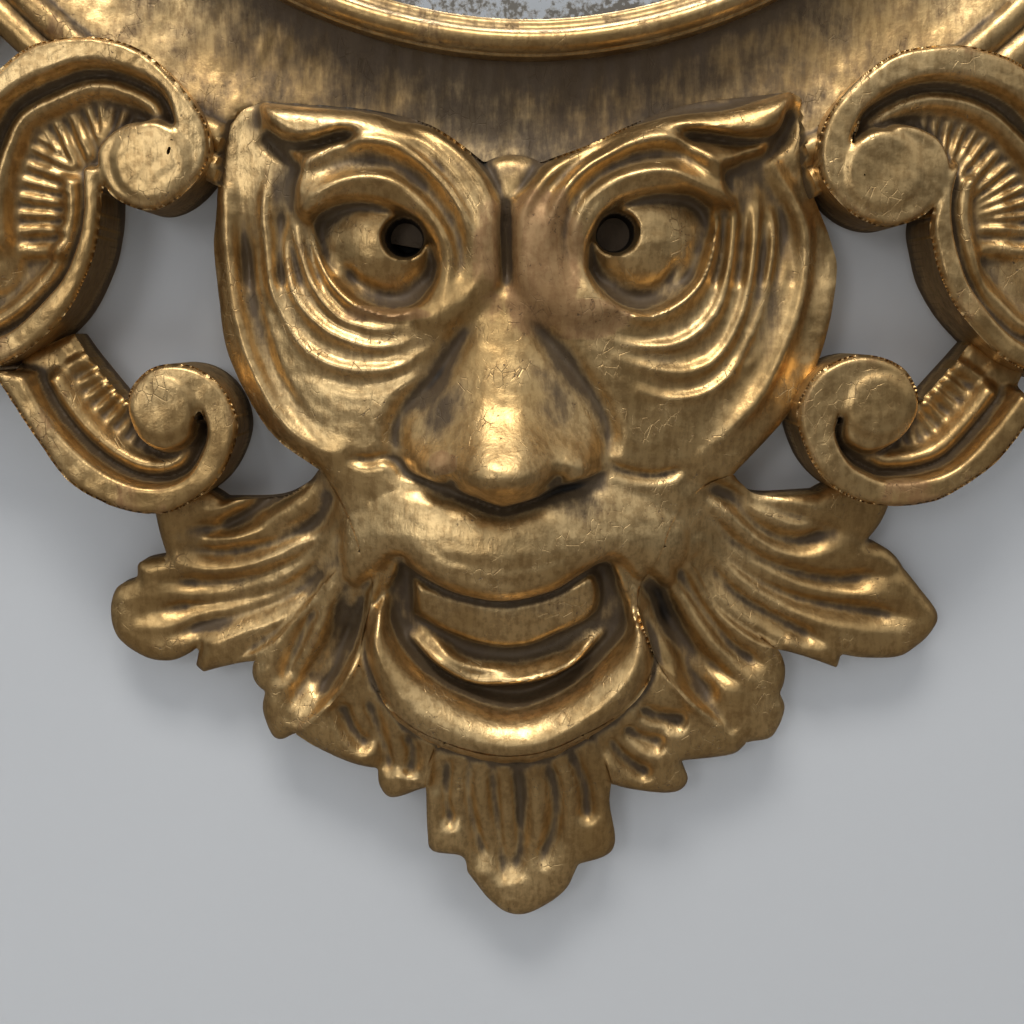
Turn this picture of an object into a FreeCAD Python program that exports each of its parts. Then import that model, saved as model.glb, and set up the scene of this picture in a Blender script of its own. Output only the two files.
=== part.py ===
"""Round carved giltwood wall mirror with two swivelling candle arms.

Frame: origin at the mirror's centre on the wall plane, +X right, +Z up, the front
faces -Y.  Heights named `h` below are millimetres in front of the wall (h = -y).
Every carved piece is a separate block of limewood, glued or pegged to its neighbour.
"""
import FreeCAD, Part
import math
import os

os.makedirs("parts", exist_ok=True)

# ------------------------------------------------------------------ driving sizes
sight_radius = 185.0            # inner edge of the rim moulding
glass_lap = 9.0                 # how far the looking glass goes behind the rim
glass_thickness = 4.0
glass_clearance = 0.8           # all round, in the ring's rebate
backboard_thickness = 10.0
backboard_plank_width = 132.0   # middle plank, the outer two take the rest
backboard_clearance = 0.3       # round edge of the board in the rebate

rim_height = 20.0               # rim moulding, in front of the glass
rim_shelf = 4.7                 # width of the shelf that carries the rim moulding

ring_ground_width = 47.5        # hollow ground between the rim and the reeds
ring_edge_h = 29.0              # top of the reeds above the wall
ring_ground_h = 19.5            # hollow ground beside the rim
ring_ground_rise = 5.0          # how much the ground rises towards the reeds
reed_width = 10.5
reed_count = 2
reed_depth = 4.0
seat_h = 16.0                   # flats cut in the ring for the applied carvings
edge_clearance = 0.3            # carvings that hook over the ring's round edge
cut_length = 10.0               # length of the carver's straight cuts along a curve

carving_back_h = 4.0            # backs of the carvings stand this far off the wall
scroll_face_h = 36.0            # flat faces of the C-scroll bands
scroll_cove_h = 23.0            # fluted coves between the bands
scroll_web_h = 15.0             # low web that ties the lower scroll to the mask

mask_centre_x = -6.0            # the carver's mask sits a little left of centre
mask_half_width = 125.0         # blank that the mask is carved from
mask_dome_radius = 330.0
mask_dome_strips = 8
mask_dome_h = 38.0              # highest point of the bare cheeks
eye_offset = 50.0               # eyeball centre from the mask's own centre line
eye_z = -262.0
eye_sides = 12
eyeball_radius = 25.0
eyeball_flat_radius = 12.0
eyeball_back_h = 10.0
eyeball_front_h = 28.0
eye_socket_radius = 31.0
eye_socket_h = 19.0
pupil_sides = 8
pupil_radius = 6.3
pupil_depth = 11.0
pupil_spacing = 77.1            # centre to centre
pupil_z = -261.0
lid_h = 36.0
brow_h = 38.0
wrinkle_half_width = 3.0        # V gouged rings round the eyes
wrinkle_depth = 3.6
nose_root_h = 20.0
nostril_radius = 5.0
nostril_offset = 17.0
nostril_depth = 16.0
muzzle_h = 42.0
mouth_floor_h = 17.0
mouth_ridge_half_width = 4.0
mouth_ridge_h = 21.0
lip_half_width = 9.0
lip_h = 40.0

leaf_root_h = 27.0              # beard leaves where they grow from the cheek
leaf_tip_h = 13.0               # and at their curled tips
leaf_flute_half_width = 3.4
leaf_flute_depth = 3.2
leaf_blank_h = 39.0             # board that the leaves are carved from
cove_ribs = 8                   # gouged ribs in each upper cove
cove_flute_half_width = 2.6
cove_flute_depth = 4.0
cove_flute_inner = 8.0          # from the fan's centre
cove_flute_outer = 38.0

spline_thickness = 3.0          # loose tongues in the four joints of the ring
spline_width = 30.0
spline_depth = 12.0             # into each half
spline_clearance = 0.1
dowel_sides = 8                 # riven pegs that carry the mask on the ring
dowel_radius = 5.0
dowel_length = 12.0
dowel_clearance = 0.05
dowel_end_clearance = 0.5
dowel_spacing = 110.0
dowel_z = -238.0

sprig_thickness = 1.6           # square cut nails
sprig_length = 14.0
sprig_bite = 7.0                # length driven into the ring
sprig_back_h = 1.0              # let in this far from the back
sprig_clearance = 0.05
sprig_notch_clearance = 0.2
sprigs_per_quarter = 3

arm_mount = (0.798507, -0.402985)   # bracket centre, in shares of the ring's radius
bracket_radius = 21.0           # over the corners of the eight-sided plate
bracket_seat_clearance = 0.5
bracket_leaf_clearance = 2.0
bracket_sides = 8
bracket_thickness = 3.0
lug_height = 8.0
lug_width = 15.0
hinge_reach = 22.0              # hinge axis in front of the bracket plate
hinge_pin_radius = 3.0
hinge_pin_head = 1.8
hinge_pin_head_width = 10.0
hinge_pin_tail = 2.0
hinge_pin_clearance = 0.03      # in the lugs, a driving fit
hinge_clearance = 0.08          # arm barrel on its pin
barrel_radius = 7.8             # over the corners of the eight-sided barrel
barrel_sides = 8
barrel_height = 16.0
barrel_end_clearance = 0.3
barrel_bite = 3.6               # how far the bar runs into the barrel
arm_bar_thickness = 8.0         # forged square bar
arm_bend_radius = 42.0          # big bend under the drip pan
arm_swan_radius = 30.0          # smaller bend next to the hinge
arm_turn = 35.0                 # degrees where the two bends meet
arm_swan_sweep = 75.0
arm_upright = 18.0              # straight end below the pan
arm_splay = 22.0                # degrees outwards from straight ahead, at rest
pan_sides = 12
pan_radius = 32.0
pan_floor_radius = 22.4
pan_rim_height = 6.0
pan_thickness = 1.8
spigot_width = 5.6              # square tenon on the end of the arm
spigot_clearance = 0.1
spigot_length = 9.0
cup_sides = 12
cup_radius = 14.6
cup_foot_radius = 8.0
cup_waist_radius = 6.0
cup_lip = 2.4
cup_height = 34.0
candle_bore_radius = 11.0
candle_bore_depth = 25.0
nail_width = 3.0                # hand forged, square, tapered, with a rose head
nail_tip_width = 1.2
nail_length = 14.0
nail_head_width = 6.4
nail_head_height = 1.6
nail_circle = 15.0
nail_clearance = 0.1            # each side in the bracket and plate, half of it in the wood
nails_per_bracket = 3

hanger_inset = 28.0             # hinge line of the hanging ring below the ring's edge
hanger_pocket_depth = 9.5
hanger_pocket_width = 66.0
hanger_pocket_height = 54.0
hanger_plate_width = 60.0
hanger_plate_height = 20.0
hanger_plate_thickness = 2.0
hanger_wire_radius = 2.0        # round where it turns in the lug
hanger_bar_thickness = 4.0      # square bar of the loop
hanger_loop_width = 34.0        # centre to centre of the wire
hanger_loop_height = 20.0
hanger_lug_height = 7.4
hanger_lug_width = 12.0
hanger_clearance = 0.1
hanger_axis_rise = 0.4          # hinge line in front of the middle of the lug
hanger_nail_length = 7.5
hanger_nail_inset = 6.0

flank_leaf_half_width = 24.0    # leaves up the ring's flanks, beside the arms
flank_leaf_lobes = 5
# Root and tip of the leaves round the ring, in shares of its radius.
flank_leaf_left_line = ((-0.7649, -0.7313), (-1.0896, -0.1940))
flank_leaf_right_line = ((0.7537, -0.7313), (1.0896, -0.1940))
crest_leaf_line = ((0.2313, 0.9776), (0.7910, 0.6343))
crest_leaf_half_width = 24.0    # leaves on the ring's shoulders
crest_leaf_lobes = 5
applied_leaf_h = 31.0
vein_depth = 3.0
vein_half_width = 3.0
crest_shell_radius = 74.0
crest_shell_inset = 18.0        # middle of the shell below the ring's edge
crest_shell_lobes = 7
crest_shell_spread = 210.0      # degrees
crest_shell_h = 30.0
crest_shell_groove = 4.0
crest_boss_radius = 20.0
crest_boss_sides = 8
crest_boss_h = 42.0

# ---------------------------------------------------------------- derived heights
glass_back_h = backboard_thickness
glass_front_h = glass_back_h + glass_thickness
glass_radius = sight_radius + glass_lap
rebate_radius = glass_radius + glass_clearance
rim_outer_radius = rebate_radius + rim_shelf
rim_width = rim_outer_radius - sight_radius
rim_top_h = glass_front_h + rim_height
reeds_inner_radius = rim_outer_radius + ring_ground_width
ring_outer_radius = reeds_inner_radius + reed_count * reed_width
drawn_ring_foot = (0.0, -268.0)     # foot of the ring in the drawing of the carvings below it
ring_drop = ring_outer_radius + drawn_ring_foot[1]     # those carvings move down with the ring's edge
arm_mount_x = arm_mount[0] * ring_outer_radius
arm_mount_z = arm_mount[1] * ring_outer_radius
hanger_z = ring_outer_radius - hanger_inset
hanger_axis_h = hanger_pocket_depth - hanger_plate_thickness - hanger_lug_height / 2 + hanger_axis_rise
crest_shell_z = ring_outer_radius - crest_shell_inset
front_limit = 200.0             # anything longer than the object is deep


# ---------------------------------------------------------------------- helpers
def at(x, h, z):
    """Point from x, height in front of the wall and z."""
    return FreeCAD.Vector(x, -h, z)


def straight_cuts(runs, h):
    """Corners of an outline: each run of points is a line (2), an arc (3) or a smooth curve (more)."""
    corners = []
    for run in runs:
        points = [at(x, h, z) for x, z in run]
        if len(points) > 2:
            if len(points) == 3:
                curve = Part.Arc(*points)
            else:
                curve = Part.BSplineCurve()
                curve.interpolate(points)
            edge = curve.toShape()
            points = edge.discretize(max(2, math.ceil(edge.Length / cut_length)) + 1)
        corners += points[:-1]
    end = at(runs[-1][-1][0], h, runs[-1][-1][1])
    if (end - corners[0]).Length > 1e-6:
        corners.append(end)
    return corners


def plate(runs, back_h, front_h):
    """Board cut to an outline, from back_h to front_h in front of the wall."""
    corners = straight_cuts(runs, back_h)
    return Part.Face(Part.makePolygon(corners + corners[:1])).extrude(FreeCAD.Vector(0, back_h - front_h, 0))


def disc(radius, back_h, front_h, x=0.0, z=0.0):
    """Round board standing up, facing the viewer."""
    return Part.makeCylinder(radius, front_h - back_h, at(x, back_h, z), FreeCAD.Vector(0, -1, 0))


def block(x0, x1, h0, h1, z0, z1):
    """Plain block between two corners."""
    return Part.makeBox(x1 - x0, h1 - h0, z1 - z0, at(x0, h1, z0))


def turned(profile, axis_x=0.0, axis_z=0.0, start=0.0, sweep=360.0):
    """Profile of (radius, h) points turned about a line square to the wall."""
    points = [at(axis_x + r, h, axis_z) for r, h in profile]
    face = Part.Face(Part.makePolygon(points + points[:1]))
    centre = at(axis_x, 0, axis_z)
    solid = face.revolve(centre, FreeCAD.Vector(0, -1, 0), sweep)
    solid.rotate(centre, FreeCAD.Vector(0, -1, 0), start)
    return solid


def circle_through(a, b, c):
    """Centre of the circle through three (x, z) points."""
    d = 2 * (a[0] * (b[1] - c[1]) + b[0] * (c[1] - a[1]) + c[0] * (a[1] - b[1]))
    sa, sb, sc = (p[0] ** 2 + p[1] ** 2 for p in (a, b, c))
    x = (sa * (b[1] - c[1]) + sb * (c[1] - a[1]) + sc * (a[1] - b[1])) / d
    z = (sa * (c[0] - b[0]) + sb * (a[0] - c[0]) + sc * (b[0] - a[0])) / d
    return x, z


def swept(a, b, c, section):
    """Section of (offset, h) points carried along the arc through three (x, z) points."""
    cx, cz = circle_through(a, b, c)
    radius = math.dist(a, (cx, cz))
    angles = [math.atan2(p[1] - cz, p[0] - cx) for p in (a, b, c)]
    sweep = (angles[2] - angles[0]) % (2 * math.pi)
    middle = (angles[1] - angles[0]) % (2 * math.pi)
    if middle > sweep:
        sweep -= 2 * math.pi
    cuts = max(2, math.ceil(abs(sweep) * radius / cut_length))
    rings = []
    for cut in range(cuts + 1):
        turn = angles[0] + sweep * cut / cuts
        rings.append([at(cx + (radius + offset) * math.cos(turn), h, cz + (radius + offset) * math.sin(turn))
                      for offset, h in section])
    return flat_sided(rings)


def roof(half_width, back_h, top_h):
    """Section of a ridge for swept()."""
    return [(-half_width, back_h), (0.0, top_h), (half_width, back_h)]


def gouge(start, start_h, end, end_h, half_width, depth):
    """Straight V-shaped waste along a surface that is start_h high at one end and end_h at the other."""
    length = math.dist(start, end)
    nx = -(end[1] - start[1]) / length * 2 * half_width
    nz = (end[0] - start[0]) / length * 2 * half_width
    points = [at(start[0], start_h - depth, start[1]), at(start[0] + nx, start_h + depth, start[1] + nz),
              at(start[0] - nx, start_h + depth, start[1] - nz)]
    along = at(end[0], end_h, end[1]) - at(start[0], start_h, start[1])
    return Part.Face(Part.makePolygon(points + points[:1])).extrude(along)


def regular(sides, radius, x, h, z):
    """Corners of a regular polygon lying flat, over its corners."""
    turns = [2 * math.pi * (i + 0.5) / sides for i in range(sides)]
    return [at(x + radius * math.cos(turn), h + radius * math.sin(turn), z) for turn in turns]


def flat_sided(rings):
    """Solid with flat facets through matching rings of corners."""
    faces = [Part.Face(Part.makePolygon(ring + ring[:1])) for ring in (rings[0], rings[-1])]
    for lower, upper in zip(rings[:-1], rings[1:]):
        for i in range(len(lower)):
            j = (i + 1) % len(lower)
            for corners in ([lower[i], lower[j], upper[j]], [lower[i], upper[j], upper[i]]):
                faces.append(Part.Face(Part.makePolygon(corners + corners[:1])))
    solid = Part.Solid(Part.Shell(faces)).removeSplitter()
    if solid.Volume < 0:
        solid.reverse()
    return solid


def faceted(sides, profile, x, h):
    """Upright many-sided form through (radius, z) points."""
    return flat_sided([regular(sides, radius, x, h, z) for radius, z in profile])


def facing(sides, profile, x, z):
    """Many-sided form through (radius, h) points, facing the viewer."""
    turns = [2 * math.pi * (i + 0.5) / sides for i in range(sides)]
    return flat_sided([[at(x + radius * math.cos(turn), h, z + radius * math.sin(turn)) for turn in turns]
                       for radius, h in profile])


def square_peg(width, x, h, z0, z1):
    """Upright square bar."""
    return block(x - width / 2, x + width / 2, h - width / 2, h + width / 2, z0, z1)


def frustum(x, z, h0, width0, h1, width1):
    """Square taper pointing out of the wall, from one height and width to another."""
    rings = []
    for h, half in ((h0, width0 / 2), (h1, width1 / 2)):
        rings.append([at(x + across, h, z + up) for across, up in
                      ((-half, -half), (half, -half), (half, half), (-half, half))])
    return flat_sided(rings)


def rod(x0, h0, z0, x1, h1, z1, radius):
    """Straight round rod between two points."""
    start, end = at(x0, h0, z0), at(x1, h1, z1)
    return Part.makeCylinder(radius, (end - start).Length, start, end - start)


def mirrored(shape):
    """The same piece on the other side of the mirror's middle plane."""
    return shape.mirror(FreeCAD.Vector(0, 0, 0), FreeCAD.Vector(1, 0, 0))


def lowered(shape):
    """A carving below the ring, moved down as far as the ring's edge is from where it was drawn."""
    placed = shape.copy()
    placed.translate(FreeCAD.Vector(0, 0, -ring_drop))
    return placed


def round_ring(shares):
    """Points round the ring, given in shares of its radius."""
    return [(x * ring_outer_radius, z * ring_outer_radius) for x, z in shares]


def joined(shapes):
    """Fuse a list of solids into one piece of wood."""
    whole = shapes[0]
    if len(shapes) > 1:
        whole = whole.multiFuse(shapes[1:]).removeSplitter()
    return whole


def biggest(shape):
    """The main solid of a cut, without crumbs left at its edge."""
    return max(shape.Solids, key=lambda solid: solid.Volume)


def save(name, shape):
    """Write one sub-part and say how large it is."""
    shape.exportStep("parts/" + name + ".step")
    box = shape.BoundBox
    print("%-22s %d solid(s) valid %s  volume %9.0f mm3  x %6.1f %6.1f  y %6.1f %6.1f  z %6.1f %6.1f" % (
        name, len(shape.Solids), shape.isValid(), shape.Volume,
        box.XMin, box.XMax, box.YMin, box.YMax, box.ZMin, box.ZMax))


# ------------------------------------------------------------- ring, rim and glass
def ring_profile():
    """Section of the board ring: rebate inside, hollow ground, reeds, square edge."""
    points = [
        (rebate_radius, 0.0),
        (rebate_radius, glass_front_h),
        (rim_outer_radius, glass_front_h),
        (rim_outer_radius, ring_ground_h),
        (reeds_inner_radius, ring_ground_h + ring_ground_rise),
    ]
    for reed in range(reed_count):
        inner = reeds_inner_radius + reed * reed_width
        points.append((inner + reed_width / 2, ring_edge_h))
        points.append((inner + reed_width, ring_edge_h - reed_depth))
    points.append((ring_outer_radius, 0.0))
    return points


def ring_quarter(start):
    """One of the four boards of the ring, counted from +X towards +Z."""
    return turned(ring_profile(), start=start, sweep=90.0)


def rim_moulding():
    """Turned rim: hollow inside, high crest, steep outside."""
    profile = [
        (sight_radius, glass_front_h),
        (sight_radius, glass_front_h + 0.35 * rim_height),
        (sight_radius + 0.5 * rim_width, glass_front_h + 0.65 * rim_height),
        (sight_radius + 0.8 * rim_width, rim_top_h),
        (rim_outer_radius, glass_front_h + 0.8 * rim_height),
        (rim_outer_radius, glass_front_h),
    ]
    return turned(profile)


def backboard_planks():
    """Three planks, together one round board, notched at the back for the sprigs."""
    radius = rebate_radius - backboard_clearance
    board = disc(radius, 0.0, backboard_thickness)
    for notch in sprig_set(0.0, sprig_length - sprig_bite + 1.0, sprig_thickness + 2 * sprig_notch_clearance):
        board = board.cut(notch)
    half = backboard_plank_width / 2
    left = board.common(block(-radius, -half, -1, backboard_thickness + 1, -radius, radius))
    middle = board.common(block(-half, half, -1, backboard_thickness + 1, -radius, radius))
    right = board.common(block(half, radius, -1, backboard_thickness + 1, -radius, radius))
    return left, middle, right


def sprig_set(bite, tail, width):
    """Headless cut nails let into the back of the board and driven outwards into the ring."""
    nails = []
    for quarter in range(4):
        for index in range(sprigs_per_quarter):
            nail = block(rebate_radius - tail, rebate_radius + bite, sprig_back_h, sprig_back_h + sprig_thickness,
                         -width / 2, width / 2)
            turn = 90.0 * (quarter + (index + 0.5) / sprigs_per_quarter)
            nail.rotate(FreeCAD.Vector(0, 0, 0), FreeCAD.Vector(0, -1, 0), turn)
            nails.append(nail)
    return nails


def spline_set(clearance):
    """Loose tongues across the four joints of the ring."""
    middle_radius = (rebate_radius + ring_outer_radius) / 2
    middle_h = (hanger_pocket_depth + seat_h) / 2
    half = spline_thickness / 2 + clearance
    tongues = []
    for quarter in range(4):
        tongue = block(middle_radius - spline_width / 2 - clearance, middle_radius + spline_width / 2 + clearance,
                       middle_h - half, middle_h + half, -spline_depth - clearance, spline_depth + clearance)
        tongue.rotate(FreeCAD.Vector(0, 0, 0), FreeCAD.Vector(0, -1, 0), 90.0 * quarter)
        tongues.append(tongue)
    return tongues


# ------------------------------------------------------------------ scroll outlines
# Upper scrolls: band with its volute and eye, from the far end to the slot and back.
upper_band_left = [
    [(-206, -268), (-207, -247), (-199, -222), (-183.1, -204.2), (-168.8, -195.6), (-148.7, -194.3),
     (-131, -201.2), (-114.4, -220.7), (-113.1, -235.9), (-122.3, -247.9), (-134.8, -253), (-146.9, -247.9),
     (-151.9, -237), (-149.6, -229.1), (-139.5, -222.7), (-132, -226.8), (-127.5, -234)],
    [(-127.5, -234), (-125.7, -234.9)],
    [(-125.7, -234.9), (-124, -227), (-126.4, -215.6), (-132.7, -208.9), (-145, -203.9), (-155, -203.2),
     (-165.9, -206.2), (-183.8, -215.6), (-193, -232), (-197, -250), (-197, -270)],
]
upper_band_right = [
    [(203, -268), (203, -245), (193, -220), (171.8, -203.9), (156.3, -197.9), (141, -196.9), (123.5, -201.6),
     (105.1, -219.7), (102.3, -239.3), (113.4, -253.7), (128, -258.6), (141.5, -253), (148.3, -240),
     (143.9, -228.4), (131.4, -223.4), (123, -228), (120, -240)],
    [(120, -240), (121.1, -245.1)],
    [(121.1, -245.1), (115.6, -239.3), (112.9, -230.8), (116.3, -220.7), (122.7, -214.3), (134.3, -208.9),
     (146.7, -207.6), (160.4, -210.6), (172.6, -217.6), (187, -233), (193.5, -250), (193.5, -270)],
]
# Middle of the fan of ribs in each upper cove, and the first and last rib in degrees.
upper_fan_left = ((-160, -236), 70, 235)
upper_fan_right = ((155, -238), 110, -55)
# Lower C of the upper scrolls, with the small volute at its far end.
upper_hook_left = [
    [(-150.5, -238), (-151.1, -247.2), (-152.3, -258.9), (-156.6, -273.8), (-167.7, -292), (-188.9, -307.2),
     (-212, -311), (-228, -303), (-232, -289), (-224, -278), (-213, -280), (-210, -289)],
    [(-210, -289), (-213, -292)],
    [(-213, -292), (-206, -299), (-188.3, -296.6), (-169.7, -280.8), (-162, -268.6), (-157.8, -254.7),
     (-157.2, -238)],
]
upper_hook_right = [
    [(147.5, -240), (142.5, -255.8), (144, -267), (148.4, -280.1), (159.5, -295.2), (177.5, -309),
     (205, -314), (224, -305), (229, -290), (221, -279), (210, -281), (207, -290)],
    [(207, -290), (210, -293)],
    [(210, -293), (200, -302), (177.2, -299.4), (158.7, -280.8), (151.5, -263.4), (149.6, -249.6),
     (152, -236)],
]
# Coves that the ribs lie in.
upper_cove_left = [
    [(-125, -228), (-126, -214), (-145, -201), (-168, -203), (-188, -218), (-200, -245), (-201, -270)],
    [(-201, -270), (-206, -296), (-188, -302), (-163, -281), (-154, -255), (-148, -240)],
]
upper_cove_right = [
    [(114, -228), (119, -216), (134, -206), (158, -206), (180, -220), (197, -245), (198, -270)],
    [(198, -270), (203, -298), (180, -305), (153, -281), (146, -258), (147, -242)],
]
# Lower scrolls: band and volute.
lower_band_left = [
    [(-193, -309), (-189.4, -315.5), (-178.4, -333.1), (-167.7, -348.7), (-152.5, -358.2), (-138.4, -361.5),
     (-126.3, -358.9), (-112.5, -348), (-105.5, -331), (-109.7, -316.2), (-121, -307.8), (-135.3, -308.3),
     (-144.6, -319), (-142, -332.5), (-132.8, -338.5), (-123, -334), (-120.1, -325.1)],
    [(-120.1, -325.1), (-118.6, -323)],
    [(-118.6, -323), (-116.7, -330.5), (-118.4, -337.8), (-124.1, -346.9), (-133.3, -350.9), (-144.2, -350.1),
     (-154.8, -345), (-165.2, -336), (-173.7, -325.1), (-181, -311)],
]
lower_band_right = [
    [(185, -321), (178.9, -330.2), (168.8, -343.2), (152.7, -354.5), (142.7, -357.8), (132.5, -358.6),
     (120.8, -356.7), (109.7, -350.5), (101.4, -339.6), (97.2, -323.7), (104, -310), (118.8, -303.6),
     (134, -308), (141, -321), (136, -333), (125, -338.5), (115.5, -335), (113.4, -326)],
    [(113.4, -326), (112.2, -324.8)],
    [(112.2, -324.8), (111.6, -333), (116.6, -342.1), (124.1, -346.9), (131.4, -349), (144, -347.9),
     (155.4, -343.2), (166.7, -331.3), (177, -317)],
]
lower_cove_left = [
    [(-188, -305), (-178, -325), (-160, -345), (-138, -354), (-120, -345), (-115, -330)],
    [(-115, -330), (-149.8, -319.9)],
    [(-149.8, -319.9), (-153, -316.2), (-162.5, -304), (-168, -296)],
]
lower_cove_right = [
    [(184, -309), (175, -325), (158, -345), (138, -352), (118, -345), (111, -330)],
    [(111, -330), (146, -320)],
    [(146, -320), (152, -313), (159, -305), (164, -299)],
]
# Webs between the lower volutes and the mask; their inner ends are cut to the mask.
lower_web_left = [
    [(-146.4, -312), (-136.7, -304.9), (-123.4, -303.4), (-104, -305.3)],
    [(-104, -305.3), (-88, -333)],
    [(-88, -333), (-95.8, -331.4), (-103.9, -345.9), (-115.3, -358.3), (-128, -354)],
]
lower_web_right = [
    [(140, -312), (132, -304), (122, -302.3), (102, -304.5)],
    [(102, -304.5), (88, -330)],
    [(88, -330), (96, -327.5), (97.3, -336.3), (104.5, -347.8), (112, -355)],
]

# --------------------------------------------------------------------- leaf outlines
# Outlines run down the outer edge from the upper inner corner.
beard_left_outline = [
    [(-77.5, -345.9), (-83, -351.7), (-94.6, -357.5), (-115.3, -358.3)],
    [(-115.3, -358.3), (-128, -352), (-142, -352)],
    [(-142, -352), (-141.4, -364.6), (-137.9, -380.3)],
    [(-137.9, -380.3), (-148.5, -382.9), (-150.3, -389.1), (-158, -392.9), (-161, -402), (-158.5, -412.5),
     (-148.5, -420.1), (-138.7, -421.7), (-130.5, -418.4), (-126.2, -414.6)],
    [(-126.2, -414.6), (-128.4, -423.2)],
    [(-128.4, -423.2), (-125.5, -426)],
    [(-125.5, -426), (-116.2, -423.2), (-105.1, -420.9)],
    [(-105.1, -420.9), (-88, -404), (-74, -386), (-62, -375)],
    [(-62, -375), (-68, -360), (-77.5, -345.9)],
]
beard_right_outline = [
    [(76.2, -347.8), (79.8, -351.7), (87.6, -356.3), (109.4, -355.5)],
    [(109.4, -355.5), (122, -350), (138, -349)],
    [(138, -349), (136.4, -362.4), (129, -374.1)],
    [(129, -374.1), (138.2, -378.3), (143.8, -384.8)],
    [(143.8, -384.8), (149.7, -391.8), (158.2, -403), (156.3, -410), (150.1, -416.6), (143, -420.5),
     (130.1, -420.5), (121.2, -418.9)],
    [(121.2, -418.9), (119.9, -424.4)],
    [(119.9, -424.4), (111.8, -421.3), (96.4, -416.6)],
    [(96.4, -416.6), (81, -404), (68, -388), (50, -373)],
    [(50, -373), (58, -358), (76.2, -347.8)],
]
jaw_left_outline = [
    [(-105.1, -420.9), (-105.6, -428), (-101.2, -432.8)],
    [(-101.2, -432.8), (-102.6, -440.4), (-100.1, -449.2), (-96.3, -452.5), (-90, -449.5)],
    [(-90, -449.5), (-76, -437), (-64, -420)],
    [(-64, -420), (-62.7, -410.5), (-58.3, -389.7), (-62, -375)],
    [(-62, -375), (-74, -386), (-88, -404), (-105.1, -420.9)],
]
jaw_right_outline = [
    [(96.4, -416.6), (99.6, -428.8), (97.8, -434)],
    [(97.8, -434), (99.9, -441), (95.2, -451.7), (85.5, -453.7)],
    [(85.5, -453.7), (64, -438), (49, -419)],
    [(49, -419), (45.7, -411), (41, -394), (50, -373)],
    [(50, -373), (68, -388), (81, -404), (96.4, -416.6)],
]
chin_side_left_outline = [
    [(-90, -449.5), (-79.2, -456.4), (-67.1, -461.6), (-58.1, -463.3)],
    [(-58.1, -463.3), (-57.5, -470.6), (-52.5, -475.5), (-39.4, -470.6)],
    [(-39.4, -470.6), (-38, -460), (-30.7, -446.2)],
    [(-30.7, -446.2), (-50, -436), (-64, -420)],
    [(-64, -420), (-76, -437), (-90, -449.5)],
]
chin_side_right_outline = [
    [(85.5, -453.7), (80.5, -458.4), (69.6, -460), (59.4, -460.4)],
    [(59.4, -460.4), (62.7, -468.2), (59.6, -473.1), (52.2, -473.9), (39.6, -471.8), (32.5, -469.5)],
    [(32.5, -469.5), (29, -458), (20, -443.5)],
    [(20, -443.5), (37, -434), (49, -419)],
    [(49, -419), (64, -438), (85.5, -453.7)],
]
chin_leaf_outline = [
    [(-30.7, -446.2), (-7, -451), (20, -443.5)],
    [(20, -443.5), (29, -458), (32.5, -469.5)],
    [(32.5, -469.5), (32.2, -478.4), (34.7, -494.1), (30.8, -500.7), (20.2, -504)],
    [(20.2, -504), (14.7, -515.3), (3.2, -523.7), (-5.6, -525.2), (-14.4, -519.5), (-23.5, -507.4)],
    [(-23.5, -507.4), (-25.8, -500.3), (-37.3, -498.2), (-39.2, -490.4), (-39.4, -470.6)],
    [(-39.4, -470.6), (-38, -460), (-30.7, -446.2)],
]
mask_outline = [
    [(-95.1, -213.9), (-80, -214.9), (-52.9, -217.5), (-35, -222.8), (-15.9, -235.5)],
    [(-15.9, -235.5), (-6, -232.5), (4.7, -235.5)],
    [(4.7, -235.5), (22, -229.6), (44, -219), (61, -214), (77, -212.2), (93.1, -210.5)],
    [(93.1, -210.5), (98, -213), (99, -222), (101, -240), (110.6, -262.3), (113.3, -276.3), (107.7, -304.9),
     (95.5, -326.8), (76.2, -347.8)],
    [(76.2, -347.8), (58, -358), (50, -373)],
    [(50, -373), (41, -394), (45.7, -411), (49, -419)],
    [(49, -419), (37, -434), (20, -443.5)],
    [(20, -443.5), (-7, -451), (-30.7, -446.2)],
    [(-30.7, -446.2), (-50, -436), (-64, -420)],
    [(-64, -420), (-62.7, -410.5), (-58.3, -389.7), (-62, -375)],
    [(-62, -375), (-68, -360), (-77.5, -345.9)],
    [(-77.5, -345.9), (-95.8, -331.4), (-109.9, -305.3), (-113.4, -283.7), (-115, -265.2), (-113.5, -252.5),
     (-110.5, -226.8), (-104, -216.5), (-95.1, -213.9)],
]
brow_outline = [
    [(-94, -215.5), (-50, -219.5), (-17, -236.5)],
    [(-17, -236.5), (-9, -248), (-9.5, -262)],
    [(-9.5, -262), (-23, -240), (-50, -225)],
    [(-50, -225), (-72, -226.5), (-94, -221)],
    [(-94, -221), (-94, -215.5)],
]
lid_outline = [
    [(-78.8, -256.5), (-82, -240), (-60.2, -229)],
    [(-60.2, -229), (-30, -240), (-22.5, -262)],
    [(-22.5, -262), (-26, -279), (-39.7, -285.5)],
    [(-39.7, -285.5), (-33, -268), (-41.1, -253.6)],
    [(-41.1, -253.6), (-58, -249.8), (-78.8, -256.5)],
]
muzzle_outline = [
    [(-48, -344), (-59, -362), (-47, -379.5)],
    [(-47, -379.5), (-7.4, -393), (31, -379.5)],
    [(31, -379.5), (43, -362), (34, -344)],
]
mouth_outline = [
    [(-56, -391), (-51, -382), (-45.5, -380)],
    [(-45.5, -380), (-7.4, -393.4), (31, -379.8)],
    [(31, -379.8), (37, -386), (38, -398)],
    [(38, -398), (-8, -435.4), (-56, -391)],
]
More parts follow.
